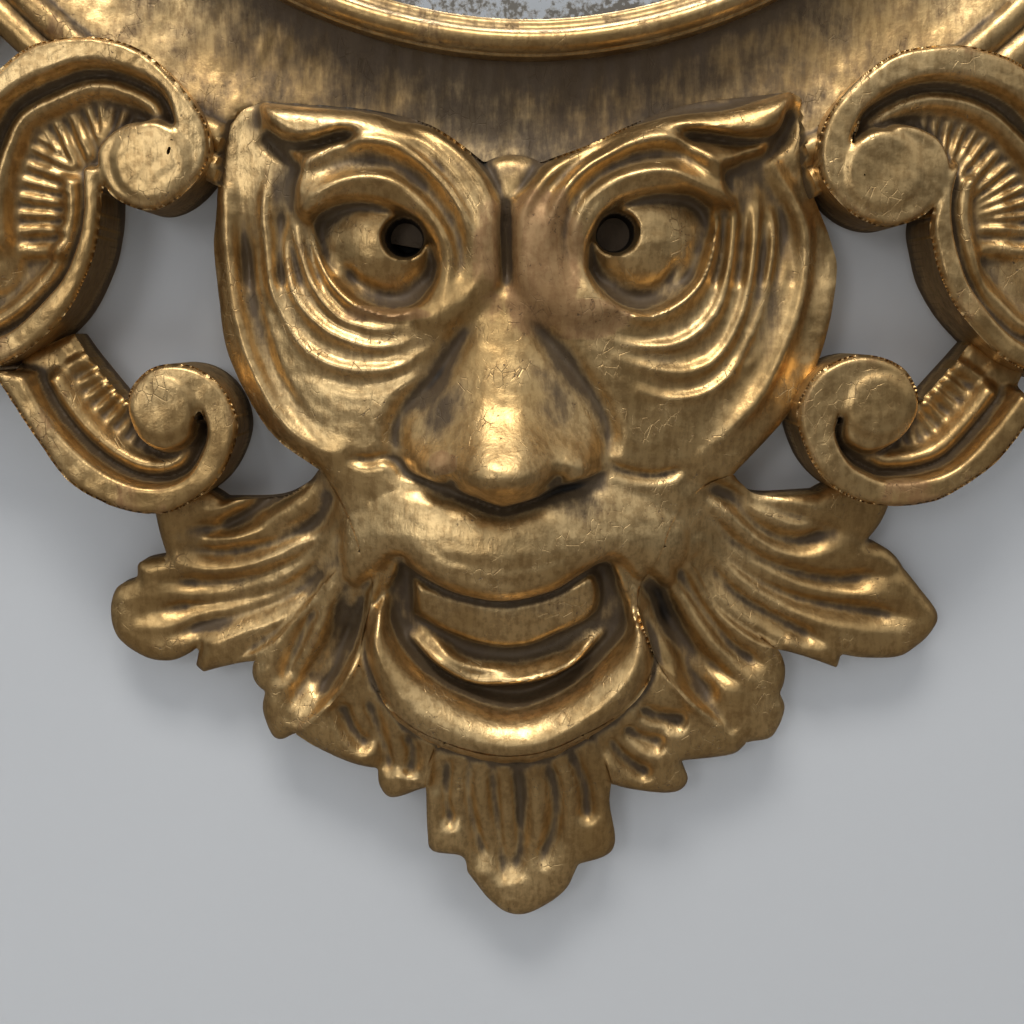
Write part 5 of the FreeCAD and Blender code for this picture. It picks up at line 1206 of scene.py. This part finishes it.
def scroll(name, low, high, hollow_path, bands, discs, edges, rows, seed):
    """Hollow, flat bands, domed eyes, beads along the bands and ribs in the hollow."""
    block = Carving(low, high, 0.65, 14.0)
    block.pad(outline(hollow_path), 23.0, 3.0, 2.0)
    for points, left in edges:
        bead(block, points, 6.5, 5.5, 5.0, left)
        bead(block, points, 15.0, 7.0, -1.8, left)
    for points, pitch, strip, lift, left in rows:
        ribs(block, points, pitch, strip, lift, left)
    for band in bands:
        block.pad(outline(band), 36.0, 2.2, 0.8)
    for centre, radius in discs:
        block.pad(closed(ring_path(centre, radius)), 37.2, 3.0, 0.6)
    block.finish(rub=1, unevenness=0.3, seed=seed)
    block.stain((high[0] * 0.5 + low[0] * 0.5, low[1] + 12), (10, 8), 0.4)
    piece = cut_out(block, "carved_" + name, [outline(path) for path in bands + [hollow_path]], scroll_back)
    fitted(piece, name, carved_gold)


scroll("upper_scroll_left", (-240, -320), (-104, -186), upper_cove_left, [upper_band_left, upper_hook_left],
       [((-132.5, -236.5), 14.5)],
       [(upper_band_left[2][1:], True), (upper_hook_left[2][1:], True)],
       [(upper_band_left[2][2:], 7.0, (11.0, 32.0), 3.4, True)], 21)
scroll("upper_scroll_right", (92, -324), (238, -188), upper_cove_right, [upper_band_right, upper_hook_right],
       [((124.5, -239.5), 14.5)],
       [(upper_band_right[2][1:], False), (upper_hook_right[2][1:], False)],
       [(upper_band_right[2][2:], 7.0, (11.0, 32.0), 3.4, False)], 22)
scroll("lower_scroll_left", (-200, -368), (-80, -288), lower_cove_left, [lower_band_left],
       [((-132.0, -322.5), 12.5)], [(lower_band_left[2][1:], False)],
       [(lower_band_left[2][3:], 7.0, (10.0, 26.0), 2.8, False)], 23)
scroll("lower_scroll_right", (80, -368), (196, -288), lower_cove_right, [lower_band_right],
       [((126.0, -322.0), 12.5)], [(lower_band_right[2][1:], True)],
       [(lower_band_right[2][3:], 7.0, (10.0, 26.0), 2.8, True)], 24)
print("scrolls carved")

# %% [markdown]
# ## Ring of four boards
# The mirror's body is a ring of four boards, hollowed beside the glass and reeded along its
# outer edge. Its section is carried round the centre; where a carving is let in, the ground
# is cut down to a seat. The section is a closed loop, so each board is solid, and its two
# sawn ends are filled.

# %% Boards of the ring
rebate_radius, ledge_radius, ground_inner, reeds_inner, ring_outer = 194.8, 199.5, 199.5, 247.0, 268.0
glass_front, seat_height = 14.0, 16.0
reed_width = 10.5
bracket_reach, bracket_drop = 214.0, 108.0
bracket_places = [(-bracket_reach, -bracket_drop), (bracket_reach, -bracket_drop)]


def ring_front(r):
    """Height of the ring's front: a sagging ground that rises outwards, then two half-round reeds."""
    share = np.clip((r - ground_inner) / (reeds_inner - ground_inner), 0, 1)
    ground = 19.5 + 5.0 * share - 3.2 * np.sin(math.pi * share)**1.3
    within = (r - reeds_inner) % reed_width / (reed_width / 2) - 1
    reed = 24.6 + 4.4 * np.sqrt(np.clip(1 - within**2, 0, 1))
    return np.where(r > reeds_inner + 0.01, reed, ground)


def seated(x, z, h, footprints):
    """Cut the ring down to the seat a little inside each carving's outline."""
    for path in footprints:
        (x0, z0), (x1, z1) = path.min(0), path.max(0)
        there = (x > x0) & (x < x1) & (z > z0) & (z < z1)
        there[there] = inside(x[there], z[there], path)
        if there.any():
            depth = nearest(x[there], z[there], path)[0]
            drop = np.minimum(h[there], seat_height - 1) - h[there]
            h[there] = h[there] + drop * ease((depth - 1.2) / 1.6)
    return h


def lobed(root, tip, half_width, lobes):
    """Outline of an acanthus leaf: along each side, lobes that swell to a tip and cut back to a notch."""
    root, tip = np.array(root, float), np.array(tip, float)
    along = tip - root
    across = np.array([-along[1], along[0]]) / np.hypot(*along)

    def width(share):
        return half_width * math.sin(math.pi * (0.12 + 0.80 * share))**0.8

    sides = []
    for side in (1, -1):
        runs = []
        for lobe in range(lobes):
            a, b = lobe / lobes, (lobe + 1) / lobes
            peak = (a + 3 * b) / 4
            start = root + along * 0.94 * a + across * side * 0.78 * width(a)
            top = root + along * 0.965 * peak + across * side * 1.04 * width(peak)
            end = (root + along * 0.94 * b + across * side * 0.78 * width(b)) if lobe < lobes - 1 else tip
            swell = start * 0.45 + top * 0.55 + across * side * 0.13 * half_width - along * 0.02
            runs += [[tuple(start), tuple(swell), tuple(top)], [tuple(top), tuple(end)]]
        sides.append(runs)
    return outline(sides[0] + backwards(sides[1])), root, along, across, width


flank_left = lobed((-205, -196), (-292, -52), 24.0, 5)
flank_right = lobed((202, -196), (292, -52), 24.0, 5)
crest_left = lobed((-62, 262), (-212, 170), 24.0, 5)
crest_right = lobed((62, 262), (212, 170), 24.0, 5)
shell_centre = np.array([0.0, 250.0])


def shell_outline(lobes=7, spread=210.0, radius=74.0):
    """Fan of lobes: arcs between notches at 0.96 of the radius, through 1.07 of it."""
    first, step = 90.0 - spread / 2, spread / lobes
    runs = []
    for lobe in range(lobes):
        angles = [math.radians(first + step * (lobe + t)) for t in (0, 0.5, 1)]
        runs.append([tuple(shell_centre + radius * k * np.array([math.cos(t), math.sin(t)]))
                     for t, k in zip(angles, (0.96, 1.07, 0.96))])
    return outline(runs)


shell_path = shell_outline()
footprints = [closed(path) for path in (
    [mask_path, shell_path] + [leaf[0] for leaf in (flank_left, flank_right, crest_left, crest_right)]
    + [outline(path) for path in (upper_band_left, upper_hook_left, upper_cove_left,
                                  upper_band_right, upper_hook_right, upper_cove_right)]
    + [ring_path(place, 20.5, 9) for place in bracket_places])]


def ring_board(name, start, seed):
    """Closed section carried through 90 degrees; front heights vary with the place on the board."""
    radii = np.concatenate([[rebate_radius, rebate_radius, ledge_radius],
                            np.linspace(ground_inner, ring_outer, 46), [ring_outer]])
    turn = np.radians(start + np.linspace(0, 90, 250))[:, None]
    x, z = radii * np.cos(turn), radii * np.sin(turn)
    h = np.broadcast_to(ring_front(radii), x.shape).copy()
    h += 0.35 * wobble(x, z, 30.0, seed) + 0.12 * wobble(x, z, 5.0, seed + 1)
    scrape = np.sin(np.degrees(turn) * 2.1 + 2 * wobble(x, z, 40.0, seed + 2))
    scrape = scrape * np.clip((reeds_inner - radii) / 20, 0, 1)
    h += 0.25 * scrape
    h = seated(x, z, h, footprints)
    h[:, 0], h[:, 1], h[:, 2], h[:, -1] = 0.0, glass_front, glass_front, 0.0
    share = (radii - ground_inner) / (reeds_inner - ground_inner)
    # Painted shade: the ground is darker beside the rim, in the grooves at the reeds, and the lower it lies.
    dirt_and_shade = 0.75 * np.exp(-np.maximum(share, 0) * 9) + 0.5 * np.exp(-((radii - reeds_inner) / 1.5)**2)
    dirt_and_shade = dirt_and_shade + 0.5 * np.exp(-((radii - reeds_inner - reed_width) / 1.2)**2) - 0.2 * (h - seat_height) / 13
    # Painted shade: the seats cut down under the carvings are dark between the parts.
    shade = np.broadcast_to(dirt_and_shade, x.shape) + 0.9 * (h < ring_front(radii) - 1.0)
    # The ground is also darker towards the bottom middle.
    shade = shade + 0.45 * np.exp(-(x / 120)**2) * (z < 0) * (radii < reeds_inner)
    rows, columns = x.shape
    corner = (np.arange(rows - 1)[:, None] * columns + np.arange(columns)[None, :]).ravel()
    beside = (np.arange(rows - 1)[:, None] * columns + (np.arange(columns)[None, :] + 1) % columns).ravel()
    quads = np.stack([corner, corner + columns, beside + columns, beside], axis=1)
    points = np.stack([x.ravel(), -h.ravel(), z.ravel()], axis=1)
    board = make_piece("gilt_" + name, points, quads[:, ::-1], hollow=shade)
    close_back(board.data)
    return fitted(board, name, rim_gold)


boards = {name: ring_board(name, 90.0 * index, 31 + index) for index, name in
          enumerate(("ring_upper_right", "ring_upper_left", "ring_lower_left", "ring_lower_right"))}


def pocketed(board, low, high):
    """The board less a box between two corners: the Boolean modifier, worked out at once."""
    (x0, y0, z0), (x1, y1, z1) = low, high
    corners = [(x, y, z) for x in (x0, x1) for y in (y0, y1) for z in (z0, z1)]
    box = make_piece("pocket", corners, [(0, 1, 3, 2), (4, 6, 7, 5), (0, 4, 5, 1), (2, 3, 7, 6), (0, 2, 6, 4),
                                         (1, 5, 7, 3)], smooth_shade=False)
    box.data.materials.append(limewood)
    cut = board.modifiers.new("pocket", "BOOLEAN")
    cut.operation, cut.object, cut.material_mode = "DIFFERENCE", box, "TRANSFER"
    bpy.context.view_layer.update()
    board.data = bpy.data.meshes.new_from_object(board.evaluated_get(bpy.context.evaluated_depsgraph_get()))
    board.modifiers.clear()
    bpy.data.objects.remove(box)


for name in ("ring_upper_right", "ring_upper_left"):
    pocketed(boards[name], (-33.0, -9.5, 213.0), (33.0, 1.0, 267.0))
print("ring", sum(len(board.data.polygons) for board in boards.values()), "faces")


# %% [markdown]
# ## Rim
# The rim that holds the glass was turned: a bead between two fillets, hollow towards the glass.
# A turned piece is a profile carried round a circle.

# %% Turn the rim


def turned(name, profile, segments, place=None, wave=None, hollow=None):
    """Closed profile of (radius, height) carried round; `place` puts (x, y, z) where it belongs."""
    profile = np.array(profile, float)
    turn = np.linspace(0, 2 * math.pi, segments, endpoint=False)[:, None]
    radius = np.broadcast_to(profile[:, 0], (segments, len(profile)))
    height = np.broadcast_to(profile[:, 1], (segments, len(profile)))
    if wave is not None:
        radius, height = wave(turn, radius, height)
    points = np.stack([radius * np.cos(turn), -height, radius * np.sin(turn)], axis=2).reshape(-1, 3)
    rows, columns = segments, len(profile)
    i, j = np.meshgrid(np.arange(rows), np.arange(columns), indexing="ij")
    up, on = (i + 1) % rows * columns, (j + 1) % columns
    quads = np.stack([i * columns + j, i * columns + on, up + on, up + j], axis=2).reshape(-1, 4)
    if place is not None:
        points = place(points)
    shades = {} if hollow is None else {"hollow": np.tile(hollow, rows)}
    return make_piece(name, points, quads, **shades)


rim_profile = smooth([(185.0, 19.8), (186.2, 20.9), (188.0, 21.3), (189.3, 22.6), (189.9, 25.6),
                      (190.8, 30.0),
                      (192.6, 33.2), (194.8, 34.0), (197.0, 33.1), (198.4, 30.6), (198.3, 28.6),
                      (198.5, 27.6),
                      (199.3, 27.2), (199.5, 26.2)], 4)
rim_profile = np.concatenate([[(185.0, 14.0)], rim_profile, [(199.5, 14.0)]])
bend = np.gradient(np.gradient(rim_profile[:, 1])) / 1.0


def hand_turned(turn, radius, height):
    return radius, height + np.where(height > 15, 0.14 * np.sin(turn * 9) + 0.08 * np.sin(turn * 31 + 1), 0)


# Concave parts of the profile count as hollow, so they are painted dark as shade and grime.
rim = turned("gilt_rim", rim_profile, 720, wave=hand_turned, hollow=np.clip(bend, -0.4, 0.8) * 0.8)
fitted(rim, "rim_moulding", rim_gold)
print("rim", len(rim.data.polygons), "faces")

# %% [markdown]
# ## Applied leaves and the shell
# The photograph ends below the ring's middle. Above, such mirrors repeat the same work: leaves
# on the flanks and shoulders, and a shell at the top. A lobe swells between its veins, so the
# leaf starts puffed, then veins are cut and the midrib is raised.

# %% Leaves and shell on the ring


def applied_leaf(name, drawing, seed):
    path, root, along, across, width = drawing
    low, high = path.min(0) - 3, path.max(0) + 3
    block = Carving(tuple(low), tuple(high), 0.8, 16.0)
    share = ((block.x - root[0]) * along[0] + (block.z - root[1]) * along[1]) / (along @ along)
    block.pad(path, lambda x, z: 29.5 - 7.0 * (share - 0.35)**2 + 2.0 * np.sin(share * 9.0), 10.0, 1.0)
    block.ridge([tuple(root + along * t) for t in (0.02, 0.3, 0.6, 0.94)], 4.0, 3.0, ends=(0.6, 0.1))
    for lobe in range(5):
        a, b = lobe / 5, (lobe + 1) / 5
        peak = (a + 3 * b) / 4
        for side in (1, -1):
            start = root + along * max(peak - 0.36, 0.03) + across * side * 2.5
            tip = root + along * 0.95 * peak + across * side * 0.86 * width(peak)
            middle = (start + tip) / 2 + across * side * 1.5 - along * 0.015
            block.gouge([tuple(start), tuple(middle), tuple(tip)], 3.6, 3.2, ends=(0.4, 0.0))
            notch = root + along * 0.94 * a + across * side * 0.78 * width(a)
            back = root + along * max(a - 0.14, 0.02) + across * side * 3.0
            bend = (back + notch) / 2 + across * side
            block.gouge([tuple(back), tuple(bend), tuple(notch)], 3.0, 4.6, ends=(0.1, 0.9))
    block.finish(rub=1, unevenness=0.3, seed=seed)
    fitted(cut_out(block, "carved_" + name, [path], carving_back), name, carved_gold)


for name, drawing, seed in (("flank_leaf_left", flank_left, 41), ("flank_leaf_right", flank_right, 42),
                            ("crest_leaf_left", crest_left, 43), ("crest_leaf_right", crest_right, 44)):
    applied_leaf(name, drawing, seed)


def shell():
    """Scallop: height is a cosine across each lobe, steeper to the rim, round a domed boss with petals."""
    block = Carving((-86.0, 190.0), (86.0, 336.0), 0.75, 14.0)
    dx, dz = block.x - shell_centre[0], block.z - shell_centre[1]
    reach, angle = np.hypot(dx, dz), np.degrees(np.arctan2(dx, dz))
    lobe = np.abs(np.cos(np.pi * (angle + 105.0) / 30.0 + np.pi / 2))
    rise = np.clip(reach / 74.0, 0, 1)
    fan = 21.0 + 7.5 * lobe**0.7 * ease((reach - 12) / 30) + 2.0 * np.sin(rise * 3.0)
    fan += 0.6 * np.sin(reach / 2.6) * ease((reach - 30) / 20) * lobe
    block.pad(shell_path, lambda x, z: fan, 7.0, 1.0)
    petals = 26.0 + 15.0 * np.sqrt(np.clip(1 - (reach / 20.5)**2, 0, 1))
    petals -= 2.2 * np.abs(np.sin(np.radians(angle) * 4))**3 * ease((reach - 5) / 6)
    block.h = np.where(reach < 20.0, np.maximum(block.h, petals), block.h)
    block.gouge([tuple(p) for p in ring_path(shell_centre, 20.8, 24)], 2.6, 2.5, ends=(1, 1))
    block.finish(rub=1, unevenness=0.3, seed=45)
    piece = cut_out(block, "carved_crest_shell", [shell_path], carving_back)
    fitted(piece, "crest_shell", carved_gold)


shell()
print("leaves and shell applied")

# %% [markdown]
# ## Candle arms
# Two arms swing on pins in lugs. An arm is a forged square bar, bent in an S, with softened
# corners; a section carried along a line of arcs gives exactly that. On its end sit a lobed
# drip pan and a vase-shaped cup, both turned.

# %% Candle arms
hinge_height, arm_splay = 41.0, 22.0
swan_centre, swan_radius = (14.46, -28.19), 30.0
bend_centre, bend_radius = (73.44, 13.11), 42.0
candle_reach, seat_z = 115.44, 31.11
metal = gilding("gilt_brass", seed=1.9, wear=-0.12, dirt_and_shade=-0.1)


def on_arm(side):
    """Turn points (reach, across, up) of the arm to its rest angle and carry them to the bracket."""
    ahead = math.radians(-90.0 + side * arm_splay)

    def place(points):
        x, y, z = points.T
        return np.stack([side * bracket_reach + x * math.cos(ahead) - y * math.sin(ahead),
                         -hinge_height + x * math.sin(ahead) + y * math.cos(ahead), z - bracket_drop], axis=1)
    return place


def upright(place):
    """Stand a turned piece up: its axis, which `turned` lays along -y, becomes z over the candle's seat."""
    return lambda points: place(np.stack([points[:, 0] + candle_reach, points[:, 2], -points[:, 1]], axis=1))


def arm_line():
    """Centre line as (reach, up): swan neck, big bend and upright, in steps of about 2 mm."""
    swan = np.radians(np.linspace(110, 35, 24))
    bend = np.radians(np.linspace(215, 360, 56))
    first, second = (np.stack([centre[0] + radius * np.cos(turn), centre[1] + radius * np.sin(turn)], 1)
                     for centre, radius, turn in ((swan_centre, swan_radius, swan),
                                                  (bend_centre, bend_radius, bend)))
    rise = np.stack([np.full(8, candle_reach), np.linspace(bend_centre[1], seat_z, 9)[1:]], 1)
    return np.concatenate([first, second[1:], rise])


def square_section(half, count=32, power=5.0):
    """Superellipse |a|^n + |b|^n = half^n: a square with softened corners."""
    turn = np.linspace(0, 2 * math.pi, count, endpoint=False)
    a, b = np.cos(turn), np.sin(turn)
    size = half / (np.abs(a)**power + np.abs(b)**power)**(1 / power)
    return np.stack([a * size, b * size], axis=1)


def carried(name, line, half, place):
    """Section carried along a line in the arm's plane; half width varies along it; flat ends are filled."""
    heading = np.gradient(line, axis=0)
    heading /= np.hypot(*heading.T)[:, None]
    normal = np.stack([-heading[:, 1], heading[:, 0]], axis=1)
    section = square_section(1.0)
    reach = line[:, None, 0] + normal[:, None, 0] * section[None, :, 0] * half[:, None]
    up = line[:, None, 1] + normal[:, None, 1] * section[None, :, 0] * half[:, None]
    across = np.broadcast_to(section[None, :, 1] * half[:, None], reach.shape)
    points = place(np.stack([reach, across, up], axis=2).reshape(-1, 3))
    rows, columns = reach.shape
    i, j = np.meshgrid(np.arange(rows - 1), np.arange(columns), indexing="ij")
    on = (j + 1) % columns
    here, ahead = i * columns, (i + 1) * columns
    quads = np.stack([here + j, ahead + j, ahead + on, here + on], axis=2)
    piece = make_piece(name, points, quads.reshape(-1, 4))
    close_back(piece.data)
    return piece


def dish(turn, radius, height):
    """Twelve soft lobes that grow towards the rim."""
    grow = np.clip(radius / 32.0, 0, 1)**2
    return radius * (1 - 0.035 * grow * (1 - np.cos(12 * turn))), height + 0.8 * grow * np.cos(12 * turn)


def flutes(turn, radius, height):
    """Shallow flutes round the belly of the cup."""
    belly = np.exp(-((height - seat_z - 17.0) / 6.0)**2) * (radius > 11.5)
    return radius - 0.5 * belly * (1 - np.cos(12 * turn)), height


pan_profile = [(3.1, 31.2), (9.0, 31.2), (20.0, 32.2), (28.5, 35.0), (30.8, 36.2), (31.4, 36.9), (30.8, 37.6),
               (29.4, 37.4), (27.6, 36.4), (19.5, 34.1), (9.0, 33.0), (3.1, 33.0)]
cup_profile = [(3.2, 33.1), (8.0, 33.1), (8.2, 34.0), (6.9, 35.2), (6.6, 36.2), (8.2, 37.4), (11.4, 39.4),
               (13.6, 42.4), (14.5, 46.0), (14.3, 50.0), (13.4, 55.0), (13.1, 59.0), (13.4, 61.4),
               (15.4, 62.4),
               (16.6, 63.8), (16.8, 65.2), (16.2, 66.5), (14.0, 66.9), (11.6, 66.9), (11.0, 66.2),
               (11.0, 41.9),
               (3.2, 41.9)]
barrel_profile = [(3.1, -8.0), (6.6, -8.0), (7.3, -7.4), (7.3, -6.0), (6.3, -5.2), (6.3, -3.0), (7.0, -2.0),
                  (7.5, 0.0), (7.0, 2.0), (6.3, 3.0), (6.3, 5.2), (7.3, 6.0), (7.3, 7.4), (6.6, 8.0),
                  (3.1, 8.0)]


def finish_arm(piece, side_name, *nodes):
    piece.data.materials.append(metal)
    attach(piece, "arm_" + side_name)
    if nodes:
        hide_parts(*nodes)


for side, side_name in ((-1, "left"), (1, "right")):
    place = on_arm(side)
    line = arm_line()
    half = np.full(len(line), 4.0)
    half[:24] -= 0.35 * np.sin(np.linspace(0, math.pi, 24))
    half[24:-8] += 0.3 * np.sin(np.linspace(0, math.pi, len(line) - 32))
    bar = carried("arm_bar_" + side_name, line, half, place)
    finish_arm(bar, side_name, "candle_arm_" + side_name)
    barrel = turned("arm_barrel_" + side_name, barrel_profile, 48,
                    lambda p: place(np.stack([p[:, 0], p[:, 2], -p[:, 1]], axis=1)))
    finish_arm(barrel, side_name)
    knop_line = [(3.9, 24.0), (5.2, 24.3), (6.0, 25.6), (5.4, 26.9), (6.4, 28.0), (7.6, 29.2), (8.0, 30.4),
                 (7.6, 31.1),
                 (3.9, 31.1)]
    finish_arm(turned("arm_knop_" + side_name, knop_line, 48, upright(place)), side_name)
    pan = turned("pan_" + side_name, smooth(pan_profile, 3), 144, upright(place), dish)
    finish_arm(pan, side_name, "drip_pan_" + side_name)
    cup = turned("cup_" + side_name, cup_profile, 96, upright(place), flutes)
    finish_arm(cup, side_name, "candle_cup_" + side_name)
print("arms made")

# %% [markdown]
# ## What stays as it was packed
# Plain boards, nails, hinge parts and the glass already have their real shape. They keep it and
# get a finish of their own: old silvering, pine, bare limewood, iron.

# %% Finishes of the plain parts


def old_mirror(name):
    """Silvering: nearly a perfect mirror, with grey spots that crowd towards the edge."""
    r = Recipe(name)
    split = r.node("ShaderNodeVectorMath", {"operation": "MULTIPLY"}, {0: r.place, 1: (1, 0, 1)})
    reach = r.node("ShaderNodeVectorMath", {"operation": "LENGTH"}, {0: split}, out="Value")
    spots = r.noise(9, 6.0, 0.7) * 0.6 + r.noise(2, 3.0) * 0.4 + reach.between(0.150, 0.195) * 0.16
    spots = spots.between(0.56, 0.66)
    return r.surface(Base_Color=r.mixed(spots, (0.86, 0.88, 0.88, 1), (0.16, 0.15, 0.13, 1)),
                     Metallic=1 - 0.6 * spots, Roughness=0.04 + 0.45 * spots)


def iron(name):
    """Forged iron: near-black scale, a little rust, hammer marks."""
    r = Recipe(name)
    marks, rust = r.noise(5, 3.0), r.noise(9, 5.0, 0.65)
    rusty = rust.between(0.52, 0.66)
    return r.surface(marks + 0.4 * rust, 0.6, 0.6,
                     Base_Color=r.mixed(rusty, (0.045, 0.042, 0.040, 1), (0.17, 0.075, 0.035, 1)),
                     Metallic=0.85 - 0.75 * rusty, Roughness=0.48 + 0.3 * rusty)


pine = wood("old_pine", (0.42, 0.27, 0.14, 1), (0.26, 0.15, 0.07, 1), 7.0, "z")
silvering, forged = old_mirror("old_mirror"), iron("forged_iron")
plain_finishes = (
    (silvering, ("mirror_glass",)),
    (pine, ("backboard_left", "backboard_middle", "backboard_right")),
    (limewood, ("joint_splines", "mask_dowels")),
    (forged, ("backboard_sprigs", "hanger_plate", "hanging_ring", "hanger_nails")),
    (metal, ("arm_bracket_left", "arm_bracket_right", "arm_hinge_pins", "bracket_nails")),
)
for finish, nodes in plain_finishes:
    for name in nodes:
        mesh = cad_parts[name].data
        for index in range(len(mesh.materials)):
            mesh.materials[index] = finish
print("plain parts finished:", sum(len(nodes) for _, nodes in plain_finishes))
